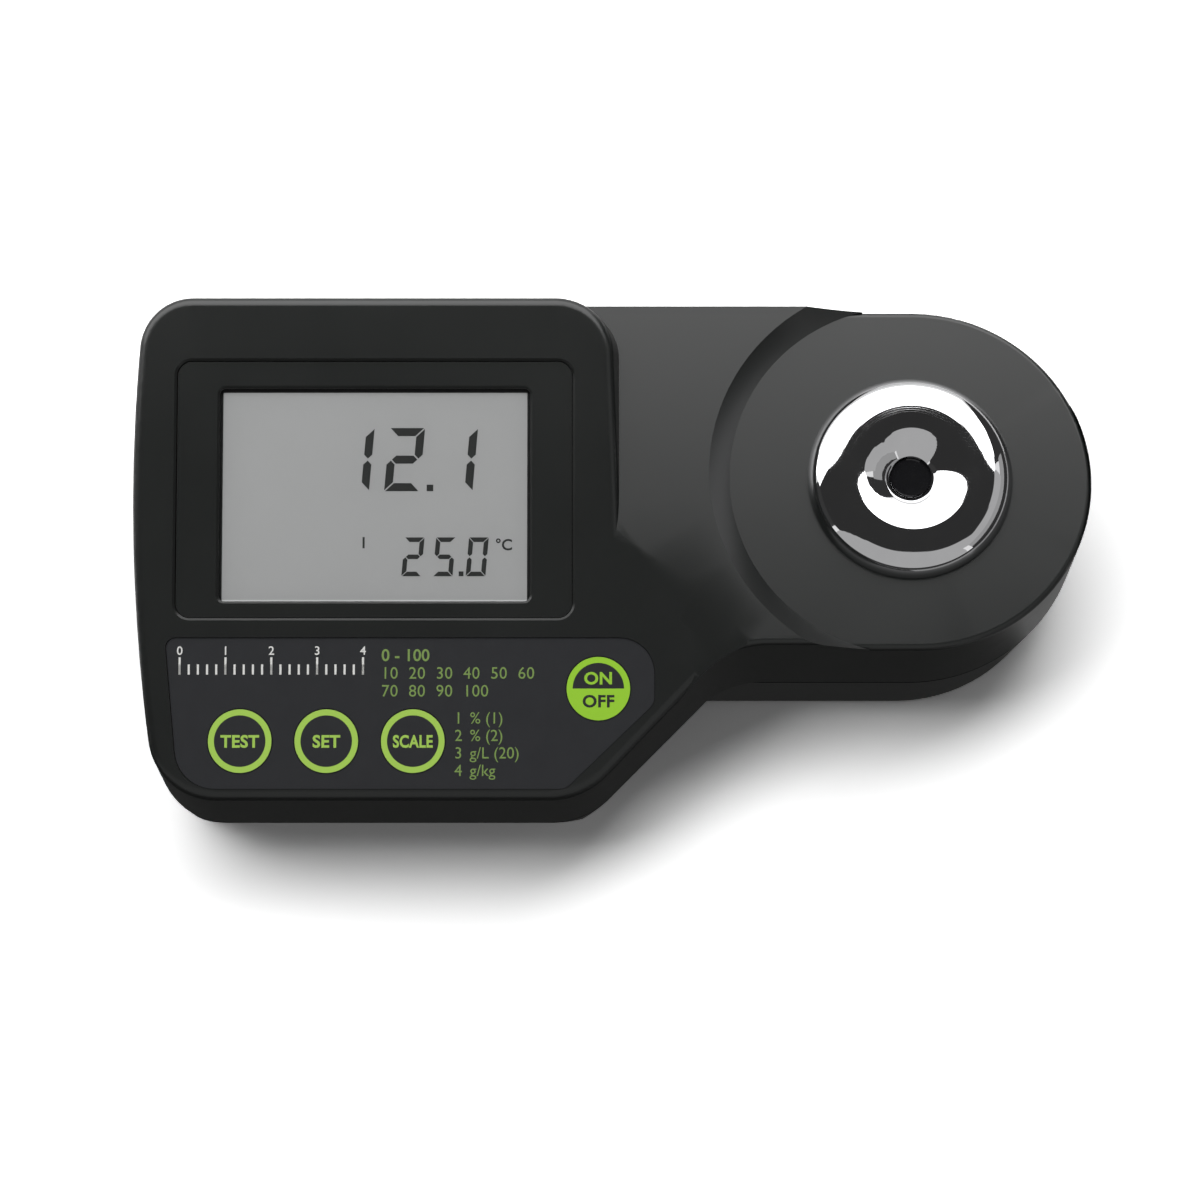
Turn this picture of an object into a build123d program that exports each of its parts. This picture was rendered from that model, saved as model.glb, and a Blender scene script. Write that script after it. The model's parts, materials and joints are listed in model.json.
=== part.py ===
from build123d import *
import math
import os

os.makedirs("parts", exist_ok=True)

# Case outline at the seam, seen from above
case_left_x = -96.3
case_back_y = 50.5
case_front_y = -50.5
side_bow_radius = 350.0
side_bow_y = 14.5
head_x = 60.3
head_radius = 36.0
diagonal_back_x = 22.9
diagonal_front_x = -5.6
corner_back_radius = 12.0
corner_front_radius = 14.5
diagonal_inner_radius = 17.5
diagonal_outer_radius = 17.0

# Heights above the bench and slopes of the case
base_z = 1.5
seam_z = 29.6
seam_gap = 0.6
gasket_inset = 0.8
gasket_width = 1.2
arm_top_z = 59.5
deck_drop = 4.1
tilt_deg = 9.0
tilt_start_y = 0.85
upper_draft_deg = 2.5
lower_draft_deg = 3.8
undercut_depth = 9.0
step_radius = 36.0
step_run = 4.2
block_wall_x = 1.1
block_wall_lean_deg = 14.0
block_corner_radius = 11.0
shoulder_x = -33.1
shoulder_y = -63.9
shoulder_radius = 74.0
shoulder_slope_deg = 20.0
shoulder_drop = 14.0
ledge_left_x = -14.0
arm_overlap = 3.5
step_rise_share = 1.3
upper_height = 45.0
edge_radius = 2.0
arm_edge_radius = 1.2
base_edge_radius = 1.2
case_wall = 2.2
floor_thickness = 2.5

# Clearances shared by the pieces
seat_gap = 0.3
fit_gap = 0.05

# Display stack, depths measured down from the sloping panel
display_u = -47.2
display_v = 10.05
bezel_length = 78.3
bezel_width = 51.1
bezel_corner_radius = 3.0
bezel_drop = 0.7
bezel_thickness = 0.9
bezel_play = 0.15
opening_bevel = 0.45
view_length = 61.4
view_width = 42.3
view_corner_radius = 1.2
view_shift_v = -1.0
pane_length = 65.6
pane_width = 46.6
pane_thickness = 1.2
pane_corner_radius = 1.5
display_pad_margin = 1.9
display_pad_thickness = 1.2
lcd_thickness = 2.8
holder_rim = 3.6
holder_ledge_thickness = 1.4
holder_ledge_width = 2.8
strip_width = 2.4
strip_height = 2.4

# Keypad overlay and its keys
overlay_back_v = -19.3
overlay_front_v = -49.1
overlay_back_left_u = -88.2
overlay_front_left_u = -85.4
overlay_right_u = 8.1
overlay_diagonal_v = -32.3
overlay_diagonal_u = -9.4
overlay_back_left_radius = 2.0
overlay_front_left_radius = 8.0
overlay_back_right_radius = 7.0
overlay_side_radius = 3.0
overlay_play = 0.1
overlay_thickness = 0.4
overlay_drop = 0.35
key_radius = 6.3
key_row_u = -73.25
key_pitch = 16.95
key_row_v = -39.65
power_key_u = -3.0
power_key_v = -29.35
key_raise = 0.1
key_cap_thickness = 0.45
key_gap = 0.15
key_travel = 0.4
plunger_radius = 2.5
plunger_clearance = 0.3
switch_side = 6.0
switch_body_height = 3.4
switch_stem_radius = 1.7
switch_stem_height = 0.8

# Main board
board_thickness = 1.6
board_margin = 3.0
board_back_v = 33.0
board_inset = 3.7
board_step_v = -18.0
board_tongue_u = 4.0
board_tongue_v = -33.0
board_front_u = -8.0
board_front_v = -45.0
board_screw_offset = 4.0
board_screw_back_v = 25.0
board_screw_front_inset = 4.0
board_boss_radius = 2.7
board_screw_radius = 1.1
board_screw_head_radius = 2.2
board_screw_head_height = 1.4
board_screw_length = 5.0
chip_boxes = (
    (-60.0, -20.0, 12.0, 12.0, 1.6),
    (-38.0, -24.0, 10.0, 6.0, 1.8),
    (-66.0, 22.0, 8.0, 5.0, 1.5),
    (-30.0, 22.0, 5.0, 11.0, 3.4),
    (-44.0, 4.0, 6.2, 6.2, 5.4),
)

# Case screws and the posts they run in
case_screw_places = ((-85.5, 42.0), (-84.0, -33.0), (-20.0, -35.0), (4.0, 42.0), (30.0, -14.5))
head_screw_ring = 28.0
head_screw_angle = 50.0
case_boss_radius = 3.5
case_post_radius = 4.7
case_screw_radius = 1.4
case_screw_clearance = 0.1
case_screw_head_radius = 2.9
case_screw_head_height = 2.2
case_screw_seat_z = 8.0
case_screw_length = 32.0
screw_slot_width = 0.6
screw_slot_share = 1.3
screw_edge_share = 0.4
boss_board_clearance = 0.6

# Battery compartment, battery and its round cover
battery_x = -48.0
battery_y = 2.0
battery_length = 46.0
battery_depth = 26.2
battery_height = 17.2
battery_edge_radius = 1.5
terminal_radius = 3.0
terminal_height = 2.2
terminal_pitch = 12.7
snap_thickness = 3.4
snap_edge_radius = 1.2
cover_radius = 29.0
cover_ring_width = 3.0
cover_ring_height = 2.1
cover_dish_radius = 22.5
cover_dish_depth = 1.4
cover_grip_width = 8.0
cover_edge = 0.4
lug_reach = 3.7
lug_height = 1.8
lug_angle = 24.0
lug_count = 3
lug_slot_play = 3.0
cover_turn = 50.0
cover_stop_angle = 4.0
cover_stop_play = 1.0
compartment_radius = 34.0
compartment_wall = 1.8
foam_radius = 20.0
foam_thickness = 2.4
seal_cord_radius = 0.4
seal_groove_depth = 0.8
seal_height = 1.1
lead_radius = 0.7
lead_spacing = 4.0
lead_wall_gap = 2.35
bend_share = 0.45
lead_slot_length = 9.0
lead_slot_width = 3.0

# Sample well, its clamp and the optics below it
well_x = 59.1
well_radius = 20.5
crest_radius = 13.65
crown_radius = 16.75
crown_drop = 0.41
crest_height = 5.2
bowl_lip_height = 1.9
window_radius = 4.1
window_lip_thickness = 1.1
skirt_radius = 16.9
skirt_inner_radius = 12.0
skirt_depth = 10.0
bowl_mouth_radius = 12.2
bowl_foot_radius = 4.2
bowl_foot_chamfer = 0.1
prism_pocket_radius = 8.4
prism_pocket_depth = 5.3
gasket_inner_radius = 17.7
gasket_outer_radius = 19.6
gasket_thickness = 0.5
gasket_play = 0.1
nut_radius = 21.5
nut_height = 4.8
nut_notch_count = 6
nut_notch_radius = 2.0
prism_length = 12.4
prism_foot = 3.0
prism_height = 9.0
prism_depth = 10.4
prism_seal_thickness = 0.4
prism_seal_width = 0.7
optics_flange_radius = 16.5
optics_flange_thickness = 2.2
optics_collar_height = 5.0
optics_half_width = 11.0
optics_shoulder_x = 20.0
optics_reach = 22.0
optics_face_length = 12.7
bore_radius = 3.0
led_radius = 2.4
led_length = 8.0
led_flange_radius = 2.7
led_flange_thickness = 1.0
lens_edge = 1.6
lens_bulge = 1.2
lens_distance = 20.0
optics_board_thickness = 1.6
led_board_side = 15.0
sensor_board_length = 21.0
sensor_board_width = 15.5
sensor_length = 12.0
sensor_width = 8.0
sensor_height = 2.2
optics_screw_ring = 14.4
optics_screw_spread_deg = 20.0
led_board_screw_y = 5.8
sensor_board_screw_y = 8.2
optics_screw_radius = 1.1
optics_screw_head_radius = 2.1
optics_screw_head_height = 1.3
optics_screw_grip = 4.0
bead_radius = 1.2
bead_length = 5.0
ribbon_thickness = 0.4
ribbon_hold = 1.75
ribbon_rise_x = -9.0
sensor_ribbon_width = 8.0
sensor_ribbon_z = 25.4
led_ribbon_width = 3.0
led_ribbon_y = 8.6
led_ribbon_z = 38.9
plug_height = 4.0
plug_length = 5.0
plug_gap = 0.2

# Rubber feet
foot_places = ((-70.0, 39.0), (-68.0, -35.0), (-6.0, -31.0), (20.0, 40.0), (74.0, 4.0))
foot_radius = 5.0
foot_recess = 0.6

# Values worked out from the sizes above
far = 400.0
aligned = 0.999
head_y = case_back_y - head_radius
arm_front_y = head_y - head_radius
deck_z = arm_top_z - deck_drop
floor_z = base_z + floor_thickness
upper_bottom_z = seam_z + seam_gap / 2
lower_top_z = seam_z - seam_gap / 2
tilt_sin = math.sin(math.radians(tilt_deg))
tilt_cos = math.cos(math.radians(tilt_deg))
panel = Plane(origin=(0, tilt_start_y, arm_top_z), x_dir=(1, 0, 0), z_dir=(0, -tilt_sin, tilt_cos))
pane_top_w = -(bezel_drop + bezel_thickness)
lcd_top_w = pane_top_w - pane_thickness
pad_bottom_w = -case_wall - display_pad_thickness
lcd_bottom_w = lcd_top_w - lcd_thickness
board_top_w = lcd_bottom_w - strip_height
board_bottom_w = board_top_w - board_thickness
overlay_bottom_w = -overlay_drop - overlay_thickness
key_top_w = -overlay_drop + key_raise
key_bottom_w = key_top_w - key_cap_thickness
key_well_w = key_bottom_w - key_travel - key_gap
switch_top_w = board_top_w + switch_body_height + switch_stem_height
plunger_bottom_w = switch_top_w + key_travel + key_gap / 3
well_y = head_y
view_v = display_v + view_shift_v
holder_half_length = pane_length / 2 + seat_gap + holder_rim
holder_half_width = pane_width / 2 + seat_gap + holder_rim
board_screw_reach = holder_half_length + board_screw_offset
board_screw_front_v = view_v - holder_half_width - board_screw_offset
board_screw_places = [
    (display_u - board_screw_reach, board_screw_back_v),
    (display_u + board_screw_reach, board_screw_back_v),
    (display_u - board_screw_reach + board_screw_front_inset, board_screw_front_v),
    (display_u + board_screw_reach - board_screw_front_inset, board_screw_front_v),
]
board_left_u = display_u - board_screw_reach - board_margin
board_right_u = display_u + board_screw_reach + board_margin
battery_bottom_z = floor_z + foam_thickness + seat_gap
compartment_ceiling_z = battery_bottom_z + battery_height + seat_gap
lug_bottom_z = floor_z + seat_gap
lug_outer_radius = cover_radius - cover_ring_width / 2 + lug_reach
cover_bore_radius = cover_radius + seat_gap
key_places = [(key_row_u + key_pitch * step, key_row_v) for step in range(3)] + [(power_key_u, power_key_v)]
key_names = ("key_one", "key_two", "key_three", "key_power")


def sideBowX(y):
    return case_left_x + side_bow_radius - math.sqrt(side_bow_radius**2 - (y - side_bow_y) ** 2)


def roundCorner(face, place, radius):
    """Round the corner of a flat outline that lies nearest to a place."""
    corner = min(face.vertices(), key=lambda v: (v.X - place[0]) ** 2 + (v.Y - place[1]) ** 2)
    return fillet(corner, radius)


def caseOutline(inset=0.0):
    """The whole outline of the case at the seam, moved inwards by an inset."""
    front_left = (sideBowX(case_front_y), case_front_y)
    back_left = (sideBowX(case_back_y), case_back_y)
    diagonal_back = (diagonal_back_x, arm_front_y)
    diagonal_front = (diagonal_front_x, case_front_y)
    edges = [
        Line(front_left, diagonal_front),
        Line(diagonal_front, diagonal_back),
        Line(diagonal_back, (head_x, arm_front_y)),
        ThreePointArc((head_x, arm_front_y), (head_x + head_radius, head_y), (head_x, case_back_y)),
        Line((head_x, case_back_y), back_left),
        ThreePointArc(back_left, (case_left_x, side_bow_y), front_left),
    ]
    outline = make_face(edges)
    outline = roundCorner(outline, front_left, corner_front_radius)
    outline = roundCorner(outline, back_left, corner_back_radius)
    outline = roundCorner(outline, diagonal_back, diagonal_inner_radius)
    outline = roundCorner(outline, diagonal_front, diagonal_outer_radius)
    if inset:
        outline = offset(outline, -inset, kind=Kind.INTERSECTION)
    return outline


def above(z):
    return Pos(0, 0, z + far / 2) * Box(far, far, far)


def rightOf(x):
    return Pos(x + far / 2, 0, 0) * Box(far, far, far)


def abovePanel(drop):
    return panel * (Pos(0, 0, far / 2 - drop) * Box(far, far, far))


def leftOfWall(inset):
    """The space left of the leaning wall where the display block ends."""
    lean = math.tan(math.radians(block_wall_lean_deg))
    foot_x = block_wall_x - inset + (arm_top_z - inset - upper_bottom_z) * lean
    crown_z = arm_top_z + upper_height
    crown_x = block_wall_x - inset - (crown_z - arm_top_z + inset) * lean
    profile = make_face(
        Polyline(
            (foot_x, upper_bottom_z),
            (crown_x, crown_z),
            (crown_x - far, crown_z),
            (crown_x - far, upper_bottom_z),
            (foot_x, upper_bottom_z),
        )
    )
    return extrude(Plane.XZ * profile, far, both=True)


def roundTop(solid, radius, up, choose=None):
    """Round the edges of the face that looks a given way, or those of its edges that a test picks."""
    top = max(solid.faces(), key=lambda face: face.area * (face.normal_at().dot(up) > aligned))
    edges = [edge for edge in top.edges() if choose is None or choose(edge)]
    return fillet(edges, radius)


def displayBlock(prism, inset):
    """The raised block under the sloping panel, left of its leaning wall."""
    block = (prism - abovePanel(inset)) & leftOfWall(inset)
    upright = [edge for edge in block.edges() if edge.bounding_box().size.Z > upper_height / 2]
    corner = [edge for edge in upright if edge.center().Y > 0 and edge.center().X > battery_x]
    block = fillet(corner, block_corner_radius - inset)
    if not inset:
        block = roundTop(block, edge_radius, panel.z_dir)
    return block - rightOf(ledge_left_x - inset) + (block & above(arm_top_z - inset))


def keypadLedge(prism, inset):
    """The front of the sloping panel, carried on to the right of the block."""
    left_x = ledge_left_x - inset
    ledge = prism - abovePanel(inset) - above(arm_top_z - inset)
    if not inset:
        ledge = roundTop(ledge, edge_radius, panel.z_dir, lambda edge: edge.center().Y < 0)
    return ledge & rightOf(left_x)


def armForm(prism, inset):
    """The flat arm between the block and the head, with the dished shoulder cut away."""
    top_z = arm_top_z - inset
    arm = prism - above(top_z)
    if not inset:
        arm = roundTop(arm, arm_edge_radius, Vector(0, 0, 1))
    arm &= rightOf(block_wall_x - inset - arm_overlap)
    foot_radius = shoulder_radius + inset - shoulder_drop / math.tan(math.radians(shoulder_slope_deg))
    dish = Pos(shoulder_x, shoulder_y, top_z - shoulder_drop / 2) * Cone(
        foot_radius, shoulder_radius + inset, shoulder_drop
    )
    return arm - dish


def upperForm(inset=0.0):
    """The upper half of the case as a solid, or its hollow where an inset is given."""
    prism = extrude(Pos(0, 0, upper_bottom_z) * caseOutline(inset), upper_height, taper=upper_draft_deg)
    form = displayBlock(prism, inset) + keypadLedge(prism, inset) + armForm(prism, inset)
    rise = deck_drop * step_rise_share
    slope = Pos(well_x, well_y, deck_z - inset + rise / 2) * Cone(
        step_radius + inset, step_radius + inset + step_run * step_rise_share, rise
    )
    column = Pos(well_x, well_y, 0) * Cylinder(step_radius + inset, far)
    deck = prism - above(deck_z - inset)
    if not inset:
        deck = roundTop(deck, arm_edge_radius, Vector(0, 0, 1))
    return (form - slope - column) + (deck & column)


def undercut(start, end, inset):
    """The wedge taken from under one front edge, from the seam down to the base."""
    run = Vector(end[0] - start[0], end[1] - start[1], 0).normalized()
    inward = Vector(-run.Y, run.X, 0)
    rise = lower_top_z - base_z
    slope = (inward * undercut_depth - Vector(0, 0, rise)).normalized()
    outward = slope.cross(run)
    edge = Vector(start[0], start[1], lower_top_z) + inward * inset
    return Plane(origin=edge, x_dir=run, z_dir=outward) * (Pos(0, 0, far / 2) * Box(far, far, far))


def lowerForm(inset=0.0):
    """The lower half of the case as a solid, or its hollow where an inset is given."""
    depth = lower_top_z - base_z - (floor_thickness if inset else 0.0)
    form = extrude(Pos(0, 0, lower_top_z) * caseOutline(inset), depth, dir=(0, 0, -1), taper=lower_draft_deg)
    front_left = (sideBowX(case_front_y), case_front_y)
    diagonal_front = (diagonal_front_x, case_front_y)
    diagonal_back = (diagonal_back_x, arm_front_y)
    draft = math.radians(lower_draft_deg)
    front_dir = (0, -math.cos(draft), -math.sin(draft))
    arm_front = Plane(origin=(0, arm_front_y + inset, lower_top_z), x_dir=(1, 0, 0), z_dir=front_dir)
    under_keypad = arm_front * (Pos(0, 0, far / 2) * Box(far, far, far))
    form -= undercut(front_left, diagonal_front, inset) & under_keypad
    form -= undercut(diagonal_front, diagonal_back, inset) & under_keypad
    return form


# Shared shapes


def tube(outer, inner, bottom_z, top_z):
    ring = Circle(outer) - Circle(inner)
    return Pos(0, 0, bottom_z) * extrude(ring, top_z - bottom_z)


def rod(radius, bottom_z, top_z):
    return Pos(0, 0, (bottom_z + top_z) / 2) * Cylinder(radius, top_z - bottom_z)


def sector(inner, outer, middle_deg, width_deg, bottom_z, top_z):
    """Part of a ring between two radii, centred on an angle."""
    half = math.radians(width_deg / 2)
    reach = 2 * outer / math.cos(half)
    wedge = make_face(
        Polyline(
            (0, 0),
            (reach * math.cos(half), -reach * math.sin(half)),
            (reach * math.cos(half), reach * math.sin(half)),
            (0, 0),
        )
    )
    ring = (Circle(outer) - Circle(inner)) & (Rot(0, 0, middle_deg) * wedge)
    return Pos(0, 0, bottom_z) * extrude(ring, top_z - bottom_z)


def panelPlate(u, v, length, width, top_w, bottom_w, radius):
    """A round-cornered plate that lies parallel to the sloping panel."""
    flat = RectangleRounded(length, width, radius)
    return panel * (Pos(u, v, bottom_w) * extrude(flat, top_w - bottom_w))


def panelBevel(u, v, length, width, top_w, depth, radius):
    """A frustum that takes the sharp edge off a round-cornered opening in the sloping panel."""
    flat = RectangleRounded(length, width, radius)
    return panel * (Pos(u, v, top_w - depth) * extrude(flat, 2 * depth, taper=-45))


def panelRod(u, v, radius, top_w, bottom_w):
    return panel * (Pos(u, v, (top_w + bottom_w) / 2) * Cylinder(radius, top_w - bottom_w))


def panHeadScrew(shank_radius, length, head_radius, head_height, slot_width):
    """A screw standing on its head: the head hangs below the origin and the shank points up."""
    head = Pos(0, 0, -head_height / 2) * Cylinder(head_radius, head_height)
    head = fillet(head.edges().group_by(Axis.Z)[0], head_height * screw_edge_share)
    slot = Pos(0, 0, -head_height) * Box(head_radius * screw_slot_share, slot_width, head_height)
    cross = slot + Rot(0, 0, 90) * slot
    shank = Pos(0, 0, length / 2) * Cylinder(shank_radius, length)
    shank = chamfer(shank.edges().group_by(Axis.Z)[-1], shank_radius * screw_edge_share)
    return head - cross + shank


def headScrewPlaces():
    turn = math.radians(head_screw_angle)
    reach_x = head_x + head_screw_ring * math.cos(turn)
    reach_y = head_screw_ring * math.sin(turn)
    return [(reach_x, head_y + reach_y), (reach_x, head_y - reach_y)]


def caseScrewPlaces():
    return list(case_screw_places) + headScrewPlaces()


def overlayOutline(play):
    """The keypad overlay's outline on the sloping panel, moved inwards by a play."""
    back_left = (overlay_back_left_u, overlay_back_v)
    front_left = (overlay_front_left_u, overlay_front_v)
    diagonal_front = (overlay_diagonal_u, overlay_front_v)
    diagonal_back = (overlay_right_u, overlay_diagonal_v)
    back_right = (overlay_right_u, overlay_back_v)
    outline = make_face(Polyline(back_left, front_left, diagonal_front, diagonal_back, back_right, back_left))
    outline = roundCorner(outline, back_left, overlay_back_left_radius)
    outline = roundCorner(outline, front_left, overlay_front_left_radius)
    outline = roundCorner(outline, diagonal_front, overlay_side_radius)
    outline = roundCorner(outline, diagonal_back, overlay_side_radius)
    outline = roundCorner(outline, back_right, overlay_back_right_radius)
    return offset(outline, -play, kind=Kind.INTERSECTION) if play else outline


def panelSolid(face, top_w, bottom_w):
    return panel * (Pos(0, 0, bottom_w) * extrude(face, top_w - bottom_w, dir=(0, 0, 1)))


# The case


def upperCase():
    outer = upperForm()
    shell = outer - upperForm(case_wall)
    clear_w = case_wall * 2
    shell += panelPlate(
        display_u,
        display_v,
        bezel_length + 2 * display_pad_margin,
        bezel_width + 2 * display_pad_margin,
        -case_wall / 2,
        pad_bottom_w,
        bezel_corner_radius,
    )
    for x, y in caseScrewPlaces():
        shell += Pos(x, y) * rod(case_boss_radius, upper_bottom_z, far / 4) & outer
    for u, v in board_screw_places:
        shell += panelRod(u, v, board_boss_radius, -case_wall / 2, board_top_w)
    shell -= panelPlate(
        display_u, display_v, bezel_length, bezel_width, clear_w, pane_top_w, bezel_corner_radius
    )
    shell -= panelBevel(
        display_u, display_v, bezel_length, bezel_width, 0, opening_bevel, bezel_corner_radius
    )
    shell -= panelPlate(
        display_u,
        view_v,
        pane_length + 2 * seat_gap,
        pane_width + 2 * seat_gap,
        clear_w,
        board_top_w,
        pane_corner_radius,
    )
    shell -= panelSolid(overlayOutline(0.0), clear_w, overlay_bottom_w)
    for u, v in key_places:
        shell -= panelRod(u, v, key_radius + 2 * key_gap, clear_w, key_well_w)
        shell -= panelRod(u, v, plunger_radius + plunger_clearance, clear_w, -clear_w)
    for x, y in caseScrewPlaces():
        top_z = case_screw_seat_z + case_screw_length + seat_gap
        shell -= Pos(x, y) * rod(case_screw_radius + case_screw_clearance, upper_bottom_z - 1, top_z)
    for u, v in board_screw_places:
        grip_w = board_bottom_w + board_screw_length + seat_gap
        shell -= panelRod(u, v, board_screw_radius + fit_gap, grip_w, board_top_w - 1)
    shell -= Pos(well_x, well_y) * rod(skirt_radius + seat_gap, deck_z - 2 * case_wall, deck_z + 1)
    return shell


def lowerCase():
    outer = roundTop(lowerForm(), base_edge_radius, Vector(0, 0, -1))
    shell = outer - lowerForm(case_wall)
    ceiling_z = compartment_ceiling_z + compartment_wall
    center = Pos(battery_x, battery_y)
    for x, y in caseScrewPlaces():
        shell += Pos(x, y) * rod(case_post_radius, base_z, lower_top_z) & outer
    shell += center * rod(compartment_radius, base_z, ceiling_z)
    shell -= center * rod(compartment_radius - compartment_wall, floor_z, compartment_ceiling_z)
    shell -= center * rod(cover_bore_radius, base_z - 1, floor_z + 1)
    half = lug_angle / 2
    for step in range(lug_count):
        lug = 90 + 360 / lug_count * step
        slot_width = lug_angle + 2 * lug_slot_play
        slot_inner = cover_radius - cover_ring_width
        slot_outer = lug_outer_radius + seat_gap
        slot = sector(slot_inner, slot_outer, lug - cover_turn, slot_width, base_z - 1, floor_z + 1)
        shell -= center * slot
        for stop in (lug + half, lug - cover_turn - half - 2 * cover_stop_play - cover_stop_angle):
            middle = stop + cover_stop_play + cover_stop_angle / 2
            rib = sector(
                cover_bore_radius + seat_gap,
                compartment_radius - compartment_wall / 2,
                middle,
                cover_stop_angle,
                floor_z - fit_gap,
                floor_z + lug_height + seat_gap,
            )
            shell += center * rib
    lead_slot = Box(lead_slot_width, lead_slot_length, 4 * compartment_wall)
    shell -= Pos(leadRiseX(), battery_y, ceiling_z) * lead_slot
    for x, y in caseScrewPlaces():
        shell -= Pos(x, y) * rod(case_screw_head_radius + seat_gap, base_z - 1, case_screw_seat_z)
        shell -= Pos(x, y) * rod(case_screw_radius + case_screw_clearance, base_z, lower_top_z + 1)
    for x, y in foot_places:
        shell -= Pos(x, y) * rod(foot_radius + fit_gap, base_z - 1, base_z + foot_recess)
    return shell


def caseGasket():
    """The strip between the halves, set in from the outside by the groove that shows as the seam."""
    ring = caseOutline(gasket_inset) - caseOutline(gasket_inset + gasket_width)
    return Pos(0, 0, lower_top_z) * extrude(ring, seam_gap, dir=(0, 0, 1))


def caseScrews():
    screw = panHeadScrew(
        case_screw_radius, case_screw_length, case_screw_head_radius, case_screw_head_height, screw_slot_width
    )
    return Compound([Pos(x, y, case_screw_seat_z) * screw for x, y in caseScrewPlaces()])


def rubberFeet():
    foot = Pos(0, 0, (base_z + foot_recess) / 2) * Cylinder(foot_radius, base_z + foot_recess)
    foot = fillet(foot.edges().group_by(Axis.Z)[0], base_z / 3)
    return Compound([Pos(x, y) * foot for x, y in foot_places])


# The display


def displayBezel():
    play = 2 * bezel_play
    frame = panelPlate(
        display_u,
        display_v,
        bezel_length - play,
        bezel_width - play,
        -bezel_drop,
        pane_top_w,
        bezel_corner_radius - bezel_play,
    )
    frame -= panelPlate(
        display_u, view_v, view_length, view_width, 0, pane_top_w - 1, view_corner_radius
    )
    return frame - panelBevel(
        display_u, view_v, view_length, view_width, -bezel_drop, opening_bevel, view_corner_radius
    )


def displayPane(top_w, bottom_w):
    return panelPlate(display_u, view_v, pane_length, pane_width, top_w, bottom_w, pane_corner_radius)


def lcdHolder():
    pocket_length = pane_length + 2 * seat_gap
    pocket_width = pane_width + 2 * seat_gap
    holder = panelPlate(
        display_u,
        view_v,
        pocket_length + 2 * holder_rim,
        pocket_width + 2 * holder_rim,
        pad_bottom_w,
        board_top_w,
        holder_rim,
    )
    holder -= panelPlate(
        display_u, view_v, pocket_length, pocket_width, pad_bottom_w + 1, board_top_w - 1, pane_corner_radius
    )
    ledge = panelPlate(
        display_u,
        view_v,
        pocket_length + holder_rim,
        pocket_width + holder_rim,
        lcd_bottom_w,
        lcd_bottom_w - holder_ledge_thickness,
        pane_corner_radius,
    )
    ledge -= panelPlate(
        display_u,
        view_v,
        pocket_length - 2 * holder_ledge_width,
        pocket_width - 2 * holder_ledge_width,
        0,
        board_top_w,
        pane_corner_radius,
    )
    return holder + ledge


def contactStrips():
    """The two rubber strips that carry the signals from the board to the glass."""
    length = pane_length - 2 * holder_ledge_width - 2 * strip_width
    reach = (pane_width - strip_width) / 2 - holder_ledge_width
    middle_w = lcd_bottom_w - strip_height / 2
    strip = Box(length, strip_width, strip_height)
    return Compound([panel * (Pos(display_u, view_v + side * reach, middle_w) * strip) for side in (-1, 1)])


# The keypad and the main board


def keypadOverlay():
    overlay = panelSolid(overlayOutline(overlay_play), -overlay_drop, overlay_bottom_w)
    for u, v in key_places:
        overlay -= panelRod(u, v, key_radius + key_gap, 1, -1)
    return overlay


def keyPiece(u, v):
    """One key: a thin round cap in the overlay on a plunger that passes through the case."""
    cap = panelRod(u, v, key_radius, key_top_w, key_bottom_w)
    return cap + panelRod(u, v, plunger_radius, key_bottom_w, plunger_bottom_w)


def keySwitches():
    switches = []
    middle_w = board_top_w + switch_body_height / 2
    for u, v in key_places:
        body = panel * (Pos(u, v, middle_w) * Box(switch_side, switch_side, switch_body_height))
        switches.append(body + panelRod(u, v, switch_stem_radius, switch_top_w, middle_w))
    return Compound(switches)


def mainBoard():
    outline = make_face(
        Polyline(
            (board_left_u, board_back_v),
            (board_left_u, board_front_v),
            (board_front_u, board_front_v),
            (board_tongue_u, board_tongue_v),
            (board_tongue_u, board_step_v),
            (board_right_u, board_step_v),
            (board_right_u, board_back_v),
            (board_left_u, board_back_v),
        )
    )
    board = panelSolid(outline, board_top_w, board_bottom_w) & extrude(caseOutline(board_inset), far)
    for x, y in caseScrewPlaces():
        board -= Pos(x, y) * rod(case_boss_radius + boss_board_clearance, 0, far / 4)
    for u, v in board_screw_places:
        board -= panelRod(u, v, board_screw_radius + fit_gap, board_top_w + 1, board_bottom_w - 1)
    return board


def panelZ(y, depth_w):
    """The height over the bench at which an upright line at this y passes a depth under the panel."""
    return arm_top_z + ((y - tilt_start_y) * tilt_sin + depth_w) / tilt_cos


def underBoard(x, y, length, width, height):
    """A box fixed to the underside of the main board, over a place in the plan."""
    local = panel.to_local_coords(Vector(x, y, panelZ(y, board_bottom_w)))
    return panel * (Pos(local.X, local.Y, board_bottom_w - height / 2) * Box(length, width, height))


def plugZ(y):
    """The height at which a lead ends, just under its plug on the board."""
    return panelZ(y, board_bottom_w - plug_height) - plug_gap


def boardParts():
    pieces = [
        underBoard(leadRiseX(), battery_y, plug_length, lead_slot_length, plug_height),
        underBoard(ribbon_rise_x, well_y, plug_length, sensor_ribbon_width + plug_length / 2, plug_height),
        underBoard(ribbon_rise_x, led_ribbon_y, plug_length, led_ribbon_width + plug_length / 4, plug_height),
    ]
    for x, y, length, width, height in chip_boxes:
        pieces.append(underBoard(x, y, length, width, height))
    return Compound(pieces)


def boardScrews():
    screw = panHeadScrew(
        board_screw_radius,
        board_screw_length,
        board_screw_head_radius,
        board_screw_head_height,
        screw_slot_width,
    )
    return Compound([panel * (Pos(u, v, board_bottom_w) * screw) for u, v in board_screw_places])


# The battery and its cover


def snapEndReach():
    """How far the outer face of the battery snap lies from the middle of the compartment."""
    return (battery_length + seat_gap + snap_thickness) / 2


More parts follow.
